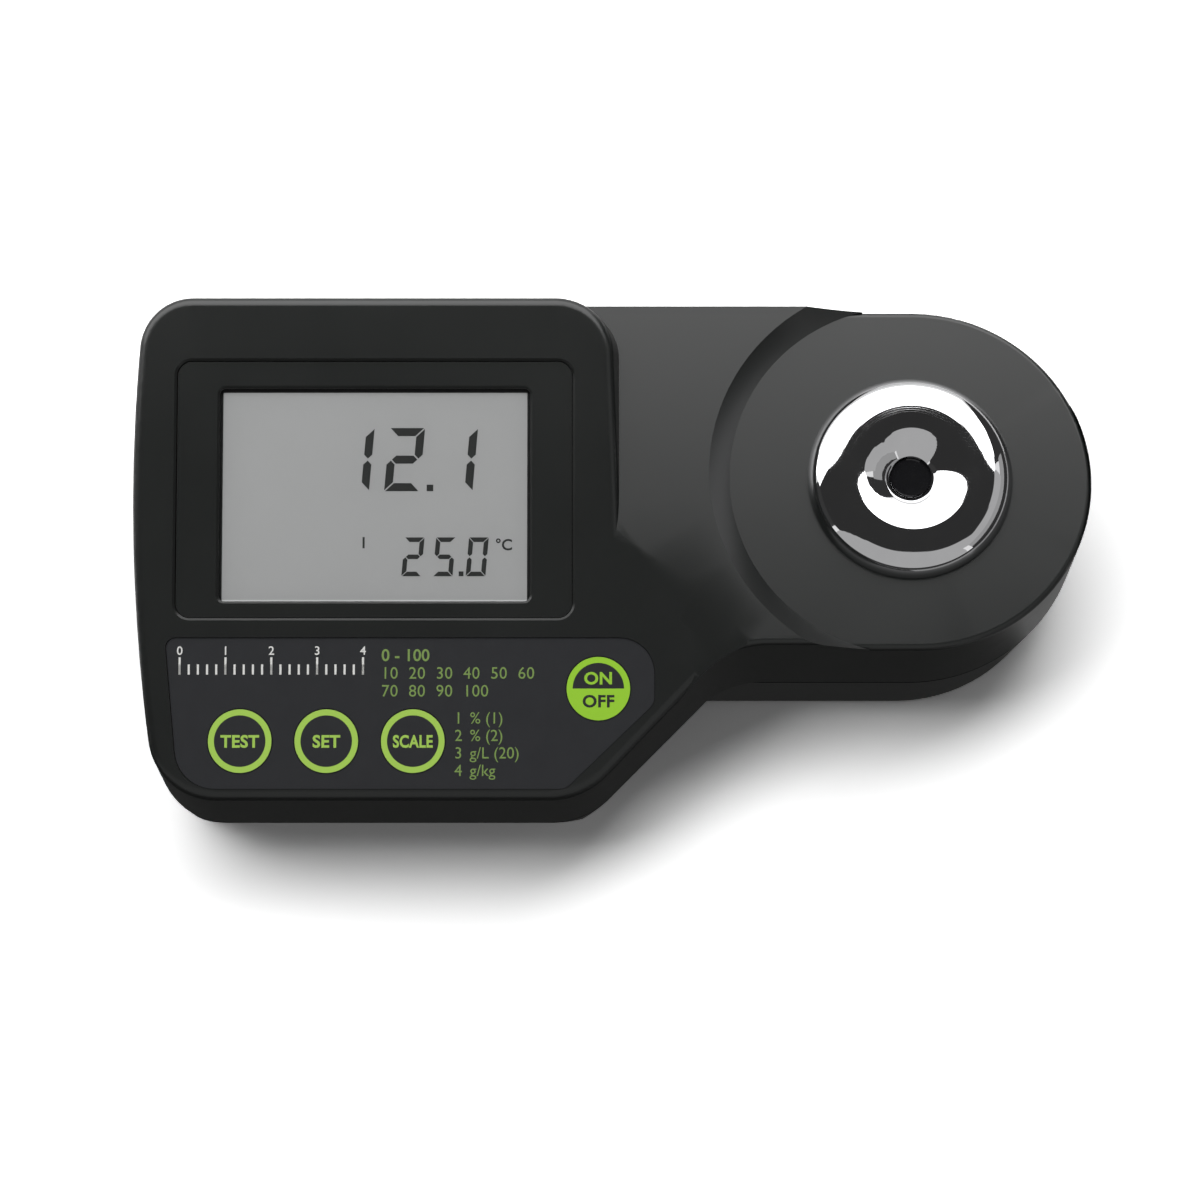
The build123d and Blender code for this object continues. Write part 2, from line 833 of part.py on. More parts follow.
def leadRiseX():
    """Where the leads rise, just inside the compartment's round wall."""
    return battery_x + compartment_radius - compartment_wall - lead_wall_gap


def batteryPiece():
    left_x = battery_x - snapEndReach()
    middle_z = battery_bottom_z + battery_height / 2
    place = Pos(left_x + battery_length / 2, battery_y, middle_z)
    body = place * Box(battery_length, battery_depth, battery_height)
    body = fillet(body.edges().filter_by(Axis.X), battery_edge_radius)
    for side in (-1, 1):
        y = battery_y + side * terminal_pitch / 2
        x = left_x + battery_length + terminal_height / 2
        body += Pos(x, y, middle_z) * Rot(0, 90, 0) * Cylinder(terminal_radius, terminal_height)
    return body


def batterySnap():
    right_x = battery_x + snapEndReach()
    middle_z = battery_bottom_z + battery_height / 2
    plate = Pos(right_x - snap_thickness / 2, battery_y, middle_z) * Box(
        snap_thickness, battery_depth - 2 * seat_gap, battery_height - 2 * seat_gap
    )
    plate = fillet(plate.edges().filter_by(Axis.X), snap_edge_radius)
    for side in (-1, 1):
        y = battery_y + side * terminal_pitch / 2
        depth = terminal_height + seat_gap
        socket = Rot(0, 90, 0) * Cylinder(terminal_radius + fit_gap, depth)
        plate -= Pos(right_x - snap_thickness - seat_gap + depth / 2, y, middle_z) * socket
    return plate


def bendRadius(run_a, run_b, turn_deg):
    return bend_share * min(run_a, run_b) / math.tan(math.radians(turn_deg / 2))


def batteryLeads():
    """The two leads of the snap, up through the compartment's slot to their plug on the board."""
    start_x = battery_x + snapEndReach()
    lead_x = leadRiseX()
    middle_z = battery_bottom_z + battery_height / 2
    leads = []
    for side in (-1, 1):
        y = battery_y + side * lead_spacing / 2
        end_z = plugZ(y)
        radius = bendRadius(lead_x - start_x, end_z - middle_z, 90)
        points = [(start_x, y, middle_z), (lead_x, y, middle_z), (lead_x, y, end_z)]
        route = FilletPolyline(*points, radius=radius)
        leads.append(sweep(Plane(origin=route @ 0, z_dir=route % 0) * Circle(lead_radius), path=route))
    return Compound(leads)


def batteryCover():
    ring_outer = cover_radius - cover_ring_width / 2
    cover = rod(cover_radius, base_z, floor_z)
    cover = chamfer(cover.edges().group_by(Axis.Z)[0], cover_edge)
    cover += tube(ring_outer, ring_outer - cover_ring_width, floor_z - fit_gap, floor_z + cover_ring_height)
    for step in range(lug_count):
        middle = 90 + 360 / lug_count * step
        top_z = lug_bottom_z + lug_height
        lug_inner = ring_outer - cover_ring_width / 2
        cover += sector(lug_inner, lug_outer_radius, middle, lug_angle, lug_bottom_z, top_z)
    dish = rod(cover_dish_radius, base_z - 1, base_z + cover_dish_depth)
    grip = Pos(0, 0, base_z) * Box(far, cover_grip_width, far)
    cover -= dish - grip
    groove = tube(
        cover_radius + 1,
        cover_radius - seal_groove_depth,
        base_z + seal_height - seal_cord_radius - fit_gap,
        base_z + seal_height + seal_cord_radius + fit_gap,
    )
    return Pos(battery_x, battery_y) * (cover - groove)


def coverSeal():
    major = cover_radius - seal_groove_depth + seal_cord_radius + fit_gap / 2
    return Pos(battery_x, battery_y, base_z + seal_height) * Torus(major, seal_cord_radius)


def coverFoam():
    return Pos(battery_x, battery_y) * rod(foam_radius, floor_z, floor_z + foam_thickness)


# The sample well and the optics


def wellPlace():
    return Pos(well_x, well_y, deck_z)


def turned(profile):
    """Turn a half profile, drawn as radius and height over the head's deck, about the well's axis."""
    return wellPlace() * revolve(Plane.XZ * profile, Axis.Z)


def wellRing():
    crown_end = (crown_radius, crest_height - crown_drop)
    mouth = (bowl_mouth_radius, crest_height)
    foot = (bowl_foot_radius, bowl_lip_height)
    lip = (window_radius, bowl_lip_height - bowl_foot_chamfer)
    crown = TangentArc((crest_radius, crest_height), crown_end, tangent=(1, 0))
    flank = TangentArc(crown_end, (well_radius, 0), tangent=crown % 1)
    crest = Line((crest_radius, crest_height), mouth)
    bowl = TangentArc(mouth, foot, tangent=(-1, 0))
    pocket_z = bowl_lip_height - window_lip_thickness
    inside = Polyline(
        foot,
        lip,
        (window_radius, pocket_z),
        (prism_pocket_radius, pocket_z),
        (prism_pocket_radius, pocket_z - prism_pocket_depth),
        (skirt_inner_radius, pocket_z - prism_pocket_depth),
        (skirt_inner_radius, -skirt_depth),
        (skirt_radius, -skirt_depth),
        (skirt_radius, 0),
        (gasket_inner_radius - gasket_play, 0),
        (gasket_inner_radius - gasket_play, gasket_thickness),
        (gasket_outer_radius + gasket_play, gasket_thickness),
        (gasket_outer_radius + gasket_play, 0),
        (well_radius, 0),
    )
    profile = make_face(crown.edges() + flank.edges() + crest.edges() + bowl.edges() + inside.edges())
    ring = turned(profile)
    for x, y in flangeScrewPlaces():
        ring -= wellPlace() * Pos(x, y) * rod(
            optics_screw_radius + fit_gap, -skirt_depth - 1, -skirt_depth + optics_screw_grip + seat_gap
        )
    return ring


def wellGasket():
    return wellPlace() * tube(gasket_outer_radius, gasket_inner_radius, 0, gasket_thickness)


def clampNut():
    nut = tube(nut_radius, skirt_radius + fit_gap, -case_wall - nut_height, -case_wall)
    for step in range(nut_notch_count):
        notch = Pos(nut_radius, 0) * rod(nut_notch_radius, -case_wall - nut_height, -case_wall)
        nut -= Rot(0, 0, 360 / nut_notch_count * (step + 0.5)) * notch
    return wellPlace() * nut


def prismProfile(grow):
    top_z = bowl_lip_height - window_lip_thickness - prism_seal_thickness
    half = prism_length / 2 + grow
    foot = prism_foot / 2 + grow
    return make_face(
        Polyline(
            (-half, top_z),
            (-foot, top_z - prism_height - grow),
            (foot, top_z - prism_height - grow),
            (half, top_z),
            (-half, top_z),
        )
    )


def prismPiece(grow=0.0):
    return wellPlace() * extrude(Plane.XZ * prismProfile(grow), prism_depth / 2 + grow, both=True)


def prismSeal():
    top_z = bowl_lip_height - window_lip_thickness
    inner = window_radius + seat_gap
    return wellPlace() * tube(inner + prism_seal_width, inner, top_z - prism_seal_thickness, top_z)


def flangeScrewPlaces():
    places = []
    for side in (90, 270):
        for lean in (-optics_screw_spread_deg, optics_screw_spread_deg):
            turn = math.radians(side + lean)
            places.append((optics_screw_ring * math.cos(turn), optics_screw_ring * math.sin(turn)))
    return places


def armPlane(side):
    """The plane of the optical block's slanted end, with its axis pointing out of the block."""
    lean = math.sqrt(0.5)
    sight_z = bowl_lip_height - window_lip_thickness - prism_seal_thickness
    origin = (well_x + side * optics_reach, well_y, deck_z + sight_z - optics_reach)
    return Plane(origin=origin, x_dir=(0, 1, 0), z_dir=(side * lean, 0, -lean))


def opticalBlock():
    """The black housing that clamps under the ring and holds the light source and the sensor."""
    half_face = optics_face_length / 2 * math.sqrt(0.5)
    sight_z = bowl_lip_height - window_lip_thickness - prism_seal_thickness
    flange_bottom = -skirt_depth - optics_flange_thickness
    arm_z = sight_z - optics_reach
    corners = [
        (optics_shoulder_x, flange_bottom),
        (optics_reach + half_face, arm_z + half_face),
        (optics_reach - half_face, arm_z - half_face),
    ]
    mirrored = [(-x, z) for x, z in reversed(corners)]
    body = make_face(Polyline(*corners, *mirrored, corners[0]))
    block = wellPlace() * extrude(Plane.XZ * body, optics_half_width, both=True)
    block += wellPlace() * rod(optics_flange_radius, flange_bottom - fit_gap, -skirt_depth)
    collar_top = optics_collar_height - skirt_depth
    block += wellPlace() * rod(skirt_inner_radius - seat_gap, flange_bottom, collar_top)
    block -= prismPiece(seat_gap)
    for side in (-1, 1):
        reach = optics_reach / math.sqrt(0.5)
        block -= armPlane(side) * (Pos(0, 0, -reach / 2) * Cylinder(bore_radius, reach))
    pocket = Box(sensor_length + 2 * seat_gap, sensor_width + 2 * seat_gap, 2 * (sensor_height + seat_gap))
    block -= armPlane(1) * pocket
    for x, y in flangeScrewPlaces():
        block -= wellPlace() * Pos(x, y) * rod(optics_screw_radius + fit_gap, flange_bottom - 1, 0)
    for side, reach in ((-1, led_board_screw_y), (1, sensor_board_screw_y)):
        for turn in (-1, 1):
            hole = Cylinder(optics_screw_radius + fit_gap, 2 * (optics_screw_grip + seat_gap))
            block -= armPlane(side) * (Pos(turn * reach, 0, 0) * hole)
    return block


def opticsBoard(side, length, width, screw_reach):
    board = Pos(0, 0, optics_board_thickness / 2) * Box(length, width, optics_board_thickness)
    hole = Cylinder(optics_screw_radius + fit_gap, 4 * optics_board_thickness)
    for turn in (-1, 1):
        board -= Pos(turn * screw_reach, 0, 0) * hole
    return armPlane(side) * board


def lightEmitter():
    """A small dome-ended lamp standing on its board, inside the bore."""
    body = Pos(0, 0, -(led_length - led_radius) / 2) * Cylinder(led_radius, led_length - led_radius)
    body += Pos(0, 0, -(led_length - led_radius)) * Sphere(led_radius)
    body += Pos(0, 0, -led_flange_thickness / 2) * Cylinder(led_flange_radius, led_flange_thickness)
    return armPlane(-1) * body


def lightLens():
    """A lens with one flat and one domed face, across the light source's bore."""
    radius = bore_radius - fit_gap
    dome_radius = (radius**2 + lens_bulge**2) / (2 * lens_bulge)
    disc = Pos(0, 0, lens_edge / 2) * Cylinder(radius, lens_edge)
    ball = Pos(0, 0, lens_edge + lens_bulge - dome_radius) * Sphere(dome_radius)
    cap = ball & (Pos(0, 0, lens_edge + lens_bulge) * Box(far, far, 2 * lens_bulge))
    depth = optics_reach / math.sqrt(0.5) - lens_distance
    return armPlane(-1) * (Pos(0, 0, -depth) * (disc + cap))


def imageSensor():
    chip = Pos(0, 0, -sensor_height / 2) * Box(sensor_length, sensor_width, sensor_height)
    return armPlane(1) * chip


def opticsScrews():
    screw = panHeadScrew(
        optics_screw_radius,
        optics_screw_grip + optics_flange_thickness,
        optics_screw_head_radius,
        optics_screw_head_height,
        screw_slot_width,
    )
    screws = [
        wellPlace() * Pos(x, y, -skirt_depth - optics_flange_thickness - fit_gap) * screw
        for x, y in flangeScrewPlaces()
    ]
    short = panHeadScrew(
        optics_screw_radius,
        optics_screw_grip + optics_board_thickness,
        optics_screw_head_radius,
        optics_screw_head_height,
        screw_slot_width,
    )
    for side, reach in ((-1, led_board_screw_y), (1, sensor_board_screw_y)):
        for turn in (-1, 1):
            place = Pos(turn * reach, 0, optics_board_thickness) * Rot(180, 0, 0)
            screws.append(armPlane(side) * (place * short))
    return Compound(screws)


def temperatureBead():
    """The bead that reads the ring's temperature, resting against the skirt below the nut."""
    top_z = -case_wall - nut_height - seat_gap
    bead = Pos(0, skirt_radius + seat_gap / 3 + bead_radius) * rod(bead_radius, top_z - bead_length, top_z)
    return wellPlace() * fillet(bead.edges(), bead_radius / 2)


def flatCable(points, y, width):
    """A flat cable bent through points given as x and z, lying across one y."""
    runs = [math.dist(a, b) for a, b in zip(points, points[1:])]
    headings = [math.atan2(b[1] - a[1], b[0] - a[0]) for a, b in zip(points, points[1:])]
    radii = []
    for k in range(len(runs) - 1):
        turn = abs((headings[k + 1] - headings[k] + math.pi) % (2 * math.pi) - math.pi)
        radii.append(bendRadius(runs[k], runs[k + 1], math.degrees(turn)))
    route = FilletPolyline(*[(x, y, z) for x, z in points], radius=radii)
    section = Plane(origin=route @ 0, x_dir=(0, 1, 0), z_dir=route % 0) * Rectangle(width, ribbon_thickness)
    return sweep(section, path=route)


def alongFace(side, distance, run_z):
    """A start on the outer side of one small board, and where its cable reaches a height."""
    lean = math.sqrt(0.5)
    face = armPlane(side).origin
    lift = optics_board_thickness + ribbon_thickness / 2 + fit_gap
    start = (face.X + side * lean * lift, face.Z - lean * lift)
    down = -1 if run_z < start[1] else 1
    travel = (run_z - start[1]) / (down * lean)
    first = (start[0] + side * down * lean * distance, start[1] + down * lean * distance)
    return first, (start[0] + side * down * lean * travel, run_z)


def sensorRibbon():
    first, bend = alongFace(1, sensor_board_width / 2 - ribbon_hold, sensor_ribbon_z)
    end_z = plugZ(well_y - sensor_ribbon_width / 2)
    points = [first, bend, (ribbon_rise_x, sensor_ribbon_z), (ribbon_rise_x, end_z)]
    return flatCable(points, well_y, sensor_ribbon_width)


def ledRibbon():
    first, bend = alongFace(-1, led_flange_radius, led_ribbon_z)
    end_z = plugZ(led_ribbon_y - led_ribbon_width / 2)
    points = [first, bend, (ribbon_rise_x, led_ribbon_z), (ribbon_rise_x, end_z)]
    return flatCable(points, led_ribbon_y, led_ribbon_width)


pieces = {
    "upper_case": upperCase(),
    "lower_case": lowerCase(),
    "case_gasket": caseGasket(),
    "case_screws": caseScrews(),
    "rubber_feet": rubberFeet(),
    "display_bezel": displayBezel(),
    "display_window": displayPane(pane_top_w, lcd_top_w),
    "lcd_glass": displayPane(lcd_top_w, lcd_bottom_w),
    "lcd_holder": lcdHolder(),
    "contact_strips": contactStrips(),
    "keypad_overlay": keypadOverlay(),
    "key_switches": keySwitches(),
    "main_board": mainBoard(),
    "board_parts": boardParts(),
    "board_screws": boardScrews(),
    "battery": batteryPiece(),
    "battery_snap": batterySnap(),
    "battery_leads": batteryLeads(),
    "battery_cover": batteryCover(),
    "battery_cover_seal": coverSeal(),
    "battery_foam": coverFoam(),
    "sample_well_ring": wellRing(),
    "well_gasket": wellGasket(),
    "well_clamp_nut": clampNut(),
    "prism": prismPiece(),
    "prism_seal": prismSeal(),
    "optical_block": opticalBlock(),
    "light_board": opticsBoard(-1, led_board_side, led_board_side, led_board_screw_y),
    "light_emitter": lightEmitter(),
    "light_lens": lightLens(),
    "sensor_board": opticsBoard(1, sensor_board_length, sensor_board_width, sensor_board_screw_y),
    "image_sensor": imageSensor(),
    "optics_screws": opticsScrews(),
    "temperature_bead": temperatureBead(),
    "sensor_ribbon": sensorRibbon(),
    "light_ribbon": ledRibbon(),
}
for name, (u, v) in zip(key_names, key_places):
    pieces[name] = keyPiece(u, v)

for name, shape in pieces.items():
    export_step(shape, f"parts/{name}.step")
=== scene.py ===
import json
import math

import bmesh
import bpy
from mathutils import Matrix, Vector


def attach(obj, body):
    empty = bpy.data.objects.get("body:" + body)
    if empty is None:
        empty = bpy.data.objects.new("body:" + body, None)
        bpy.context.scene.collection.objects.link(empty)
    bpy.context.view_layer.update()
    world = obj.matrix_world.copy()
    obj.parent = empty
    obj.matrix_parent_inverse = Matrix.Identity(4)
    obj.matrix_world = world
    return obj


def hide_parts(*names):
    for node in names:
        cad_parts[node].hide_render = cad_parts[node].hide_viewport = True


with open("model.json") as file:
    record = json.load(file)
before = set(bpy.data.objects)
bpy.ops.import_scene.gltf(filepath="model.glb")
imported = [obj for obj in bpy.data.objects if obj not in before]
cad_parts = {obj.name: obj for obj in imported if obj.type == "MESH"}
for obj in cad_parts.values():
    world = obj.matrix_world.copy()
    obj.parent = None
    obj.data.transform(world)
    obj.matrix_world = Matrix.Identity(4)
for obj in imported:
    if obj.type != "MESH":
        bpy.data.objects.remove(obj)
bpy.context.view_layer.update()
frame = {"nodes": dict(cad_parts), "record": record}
print("frame loaded:", len(frame["nodes"]), "nodes")

mm = 0.001

# the sloping panel: u to the right, v up the slope, w out of the surface
panelSettings = {"originY": 0.85, "originZ": 59.5, "tilt": math.radians(9.0)}
wellSettings = {"x": 59.1, "y": 14.5, "deckZ": 55.4}


def panelPoint(u, v, w):
    s, c = math.sin(panelSettings["tilt"]), math.cos(panelSettings["tilt"])
    y = panelSettings["originY"] + v * c - w * s
    z = panelSettings["originZ"] + v * s + w * c
    return Vector((u * mm, y * mm, z * mm))


def panelMatrix(u=0.0, v=0.0, w=0.0):
    turn = Matrix.Rotation(panelSettings["tilt"], 4, "X")
    return Matrix.Translation(panelPoint(u, v, w)) @ turn


# a socket whose sums, products and the like add Math nodes
class Signal:
    def __init__(self, tree, socket):
        self.tree = tree
        self.socket = socket

    def maths(self, operation, *others, clamp=False):
        node = self.tree.nodes.new("ShaderNodeMath")
        node.operation = operation
        node.use_clamp = clamp
        for slotIndex, value in enumerate((self,) + others):
            if isinstance(value, Signal):
                self.tree.links.new(value.socket, node.inputs[slotIndex])
            else:
                node.inputs[slotIndex].default_value = value
        return Signal(self.tree, node.outputs[0])

    def __add__(self, other):
        return self.maths("ADD", other)

    def __sub__(self, other):
        return self.maths("SUBTRACT", other)

    def __rsub__(self, other):
        node = self.tree.nodes.new("ShaderNodeMath")
        node.operation = "SUBTRACT"
        node.inputs[0].default_value = other
        self.tree.links.new(self.socket, node.inputs[1])
        return Signal(self.tree, node.outputs[0])

    def __mul__(self, other):
        return self.maths("MULTIPLY", other)

    def __truediv__(self, other):
        return self.maths("DIVIDE", other)

    def __pow__(self, other):
        return self.maths("POWER", other)

    def below(self, edge, softness):
        # 1 well below the edge, 0 well above it
        return ((edge - self) / softness + 0.5).maths("ADD", 0.0, clamp=True)

    def above(self, edge, softness):
        return ((self - edge) / softness + 0.5).maths("ADD", 0.0, clamp=True)


noiseRoughness = 0.55


# one material and its nodes
class Finish:
    def __init__(self, name):
        self.material = bpy.data.materials.new(name)
        self.material.use_nodes = True
        self.tree = self.material.node_tree
        self.tree.nodes.clear()
        self.output = self.tree.nodes.new("ShaderNodeOutputMaterial")
        self.coords = None

    def node(self, kind, **inputs):
        node = self.tree.nodes.new(kind)
        for key, value in inputs.items():
            self.feed(node.inputs[key.replace("_", " ")], value)
        return node

    def feed(self, socket, value):
        if isinstance(value, Signal):
            value = value.socket
        if isinstance(value, bpy.types.NodeSocket):
            self.tree.links.new(value, socket)
        elif isinstance(value, tuple):
            socket.default_value = (*value, 1.0)[:4]
        else:
            socket.default_value = value

    def signal(self, socket):
        return Signal(self.tree, socket)

    def axes(self):
        parts = self.node("ShaderNodeSeparateXYZ", Vector=self.position())
        return [self.signal(socket) for socket in parts.outputs]

    def position(self):
        if self.coords is None:
            self.coords = self.node("ShaderNodeTexCoord").outputs["Object"]
        return self.coords

    def panelAxes(self):
        # u and v along the sloping panel, in millimetres
        x, y, z = self.axes()
        s, c = math.sin(panelSettings["tilt"]), math.cos(panelSettings["tilt"])
        fromY = y * (1 / mm) - panelSettings["originY"]
        fromZ = z * (1 / mm) - panelSettings["originZ"]
        return x * (1 / mm), fromY * c + fromZ * s

    def noise(self, period, detail):
        place = self.position()
        node = self.node(
            "ShaderNodeTexNoise",
            Vector=place,
            Scale=1 / period,
            Detail=detail,
            Roughness=noiseRoughness,
        )
        return self.signal(node.outputs[0])

    def mix(self, factor, first, second):
        # inputs 6 and 7 and output 2 are the node's colours
        node = self.node("ShaderNodeMix")
        node.data_type = "RGBA"
        for index, value in ((0, factor), (6, first), (7, second)):
            self.feed(node.inputs[index], value)
        return node.outputs[2]

    def bump(self, height, distance):
        node = self.node("ShaderNodeBump", Height=height, Distance=distance, Strength=1.0)
        return node.outputs[0]

    def surface(self, **inputs):
        self.show(self.node("ShaderNodeBsdfPrincipled", **inputs))

    def show(self, shader):
        self.tree.links.new(shader.outputs[0], self.output.inputs[0])


def linear(v):
    return (v / 255) / 12.92 if v <= 10 else ((v / 255 + 0.055) / 1.055) ** 2.4


def rgb(r, g, b):
    # a colour given as it looks on a screen, from 0 to 255
    return (linear(r), linear(g), linear(b), 1.0)


def shaded(color, share):
    return tuple(c * share for c in color[:3])


# finishes: periods and depths in metres, shine is how far the roughness wanders
caseFinish = {
    "color": rgb(19, 21, 20),
    "paler": rgb(22, 24, 23),
    "roughness": 0.31,
    "cloud": 0.03,
    "cloudShine": 0.06,
    "grain": 0.0006,
    "grainShine": 0.05,
    "depth": 0.0000007,
}
bezelFinish = dict(caseFinish, roughness=0.3, color=rgb(20, 22, 21), paler=rgb(24, 26, 25))


def casePlastic(name, s):
    f = Finish(name)
    cloud = f.noise(s["cloud"], detail=2.0)
    grain = f.noise(s["grain"], detail=2.0)
    color = f.mix(cloud, s["color"], s["paler"])
    rough = (cloud - 0.5) * s["cloudShine"] + (grain - 0.5) * s["grainShine"] + s["roughness"]
    f.surface(Base_Color=color, Roughness=rough, Normal=f.bump(grain, s["depth"]))
    return f.material


overlayFinish = {
    "color": rgb(27, 28, 31),
    "paler": rgb(33, 34, 37),
    "roughness": 0.38,
    "cloud": 0.004,
    "grain": 0.00035,
    "shine": 0.12,
    "keyShine": 0.1,
    "depth": 0.000006,
}
printGreen = rgb(163, 203, 84)
printLime = rgb(150, 204, 48)
keyGraphics = {"inner": 5.05, "outer": 6.22, "edge": 0.06, "half": 0.0}


def keyFinish(name, centre, power):
    # the key's film with its printed ring, and the filled lower half of the power key
    f, s, g = Finish(name), overlayFinish, keyGraphics
    u, v = f.panelAxes()
    du, dv = u - centre[0], v - centre[1]
    reach = (du * du + dv * dv) ** 0.5
    ring = reach.above(g["inner"], g["edge"]) * reach.below(g["outer"], g["edge"])
    grain = f.noise(s["grain"], detail=2.0)
    base = f.mix(f.noise(s["cloud"], detail=3.0), s["color"], s["paler"])
    inkColor = printLime if power else printGreen
    color = f.mix(ring, base, inkColor)
    if power:
        lower = dv.below(g["half"], g["edge"]) * reach.below(g["outer"], g["edge"])
        color = f.mix(lower, color, inkColor)
    rough = (grain - 0.5) * s["keyShine"] + s["roughness"]
    f.surface(Base_Color=color, Roughness=rough, Normal=f.bump(grain, s["depth"]))
    return f.material


def overlayFilm(s):
    f = Finish("overlayFilm")
    grain = f.noise(s["grain"], detail=2.0)
    color = f.mix(f.noise(s["cloud"], detail=4.0), s["color"], s["paler"])
    rough = (grain - 0.5) * s["shine"] + s["roughness"]
    f.surface(Base_Color=color, Roughness=rough, Normal=f.bump(grain, s["depth"]))
    return f.material


inkFinish = {"wear": 0.0007, "darker": 0.86, "roughness": 0.45}


def ink(name, color, roughness=inkFinish["roughness"]):
    f = Finish(name)
    wear = f.noise(inkFinish["wear"], detail=3.0)
    color = f.mix(wear, shaded(color, inkFinish["darker"]), color)
    f.surface(Base_Color=color, Roughness=roughness)
    return f.material


steelFinish = {
    "color": (0.66, 0.66, 0.67),
    "paler": (0.74, 0.74, 0.75),
    "roughness": 0.035,
    "smudge": 0.006,
    "smudgeShine": 0.05,
    "rings": 14.0,
    "wander": 0.6,
    "wanderPeriod": 0.01,
    "streak": 0.0000004,
}


def polishedSteel(s):
    # turned steel: faint rings round the well's axis
    f = Finish("polishedSteel")
    x, y, z = f.axes()
    dx, dy = x * (1 / mm) - wellSettings["x"], y * (1 / mm) - wellSettings["y"]
    reach = (dx * dx + dy * dy) ** 0.5
    rings = (reach * s["rings"] + f.noise(s["wanderPeriod"], detail=2.0) * s["wander"]).maths("SINE")
    smudge = f.noise(s["smudge"], detail=4.0)
    f.surface(
        Base_Color=f.mix(smudge, s["color"], s["paler"]),
        Metallic=1.0,
        Roughness=(smudge - 0.5) * s["smudgeShine"] + s["roughness"],
        Normal=f.bump(rings, s["streak"]),
    )
    return f.material


plainSettings = {"grain": 0.0008, "toneScale": 4, "shine": 0.1, "darker": 0.8, "depth": 0.000008}


def plainFinish(name, color, roughness, metallic=0.0):
    f, s = Finish(name), plainSettings
    tone = f.noise(s["grain"] * s["toneScale"], detail=3.0)
    rough = (tone - 0.5) * s["shine"] + roughness
    f.surface(
        Base_Color=f.mix(tone, shaded(color, s["darker"]), color),
        Roughness=rough,
        Metallic=metallic,
        Normal=f.bump(f.noise(s["grain"], detail=2.0), s["depth"]),
    )
    return f.material


# the part of the display that shows, in millimetres on the panel, and its shades
lcdSettings = {
    "u": -47.25,
    "v": 8.95,
    "halfLength": 30.15,
    "halfWidth": 20.6,
    "soft": 0.08,
    "shade": rgb(166, 165, 165),
    "paler": rgb(184, 183, 183),
    "middle": 0.4,
    "cells": 9.0,
    "cellShare": 0.02,
    "cloud": 0.02,
    "cloudShare": 0.2,
    "surround": (0.006, 0.006, 0.006),
    # the edge colour and its width and softness make a painted highlight: the lit front edge of the
    # glass, painted into the display's colour
    "edge": rgb(222, 222, 222),
    "highlightWidth": 0.45,
    "highlightSoft": 0.1,
    "roughness": 0.5,
}


def lcdFace(s):
    # grey reflective display with the fine pitch of its cells, and a painted highlight along the
    # front edge of its glass
    f = Finish("lcdFace")
    u, v = f.panelAxes()
    cells = ((u * s["cells"]).maths("SINE") * (v * s["cells"]).maths("SINE")) * s["cellShare"]
    cloud = f.noise(s["cloud"], detail=2.0) * s["cloudShare"]
    shade = (cells + cloud).maths("ADD", s["middle"], clamp=True)
    face = f.mix(shade, s["shade"], s["paler"])
    across = (u - s["u"]).maths("ABSOLUTE").below(s["halfLength"], s["soft"])
    along = (v - s["v"]).maths("ABSOLUTE").below(s["halfWidth"], s["soft"])
    halfEdge = s["highlightWidth"] / 2
    fromEdge = (v - (s["v"] - s["halfWidth"] - halfEdge)).maths("ABSOLUTE")
    # painted highlight: a pale band along the front edge of the display
    paintedHighlight = fromEdge.below(halfEdge, s["highlightSoft"]) * across
    color = f.mix(across * along, f.mix(paintedHighlight, s["surround"], s["edge"]), face)
    f.surface(Base_Color=color, Roughness=s["roughness"])
    return f.material


paneFinish = {
    "tint": (0.97, 0.98, 0.98),
    "gloss": (1.0, 1.0, 1.0),
    "roughness": 0.06,
    "ior": 1.45,
    "dust": 0.003,
    "dustShare": 0.2,
}


def clearPane(s):
    # a clear pane that lets the light through and mirrors a little
    f = Finish("clearPane")
    clear = f.node("ShaderNodeBsdfTransparent", Color=s["tint"])
    gloss = f.node("ShaderNodeBsdfGlossy", Color=s["gloss"], Roughness=s["roughness"])
    fresnel = f.node("ShaderNodeFresnel", IOR=s["ior"])
    dust = f.noise(s["dust"], detail=4.0)
    amount = f.signal(fresnel.outputs[0]) * (dust * s["dustShare"] + (1.0 - s["dustShare"]))
    both = f.node("ShaderNodeMixShader", Fac=amount)
    f.tree.links.new(clear.outputs[0], both.inputs[1])
    f.tree.links.new(gloss.outputs[0], both.inputs[2])
    f.show(both)
    return f.material


prismFinish = {
    "color": (0.006, 0.006, 0.007),
    "paler": (0.010, 0.010, 0.011),
    "tone": 0.002,
    "roughness": 0.02,
    "ior": 1.62,
}


def prismGlass(s):
    f = Finish("prismGlass")
    color = f.mix(f.noise(s["tone"], detail=2.0), s["color"], s["paler"])
    f.surface(Base_Color=color, Roughness=s["roughness"], IOR=s["ior"])
    return f.material


boardFinish = {
    "color": (0.01, 0.07, 0.03),
    "paler": (0.02, 0.12, 0.05),
    "weave": 0.0009,
    "roughness": 0.3,
    "depth": 0.00001,
}


def circuitBoard(s):
    f = Finish("circuitBoard")
    weave = f.noise(s["weave"], detail=4.0)
    color = f.mix(weave, s["color"], s["paler"])
    f.surface(Base_Color=color, Roughness=s["roughness"], Normal=f.bump(weave, s["depth"]))
    return f.material


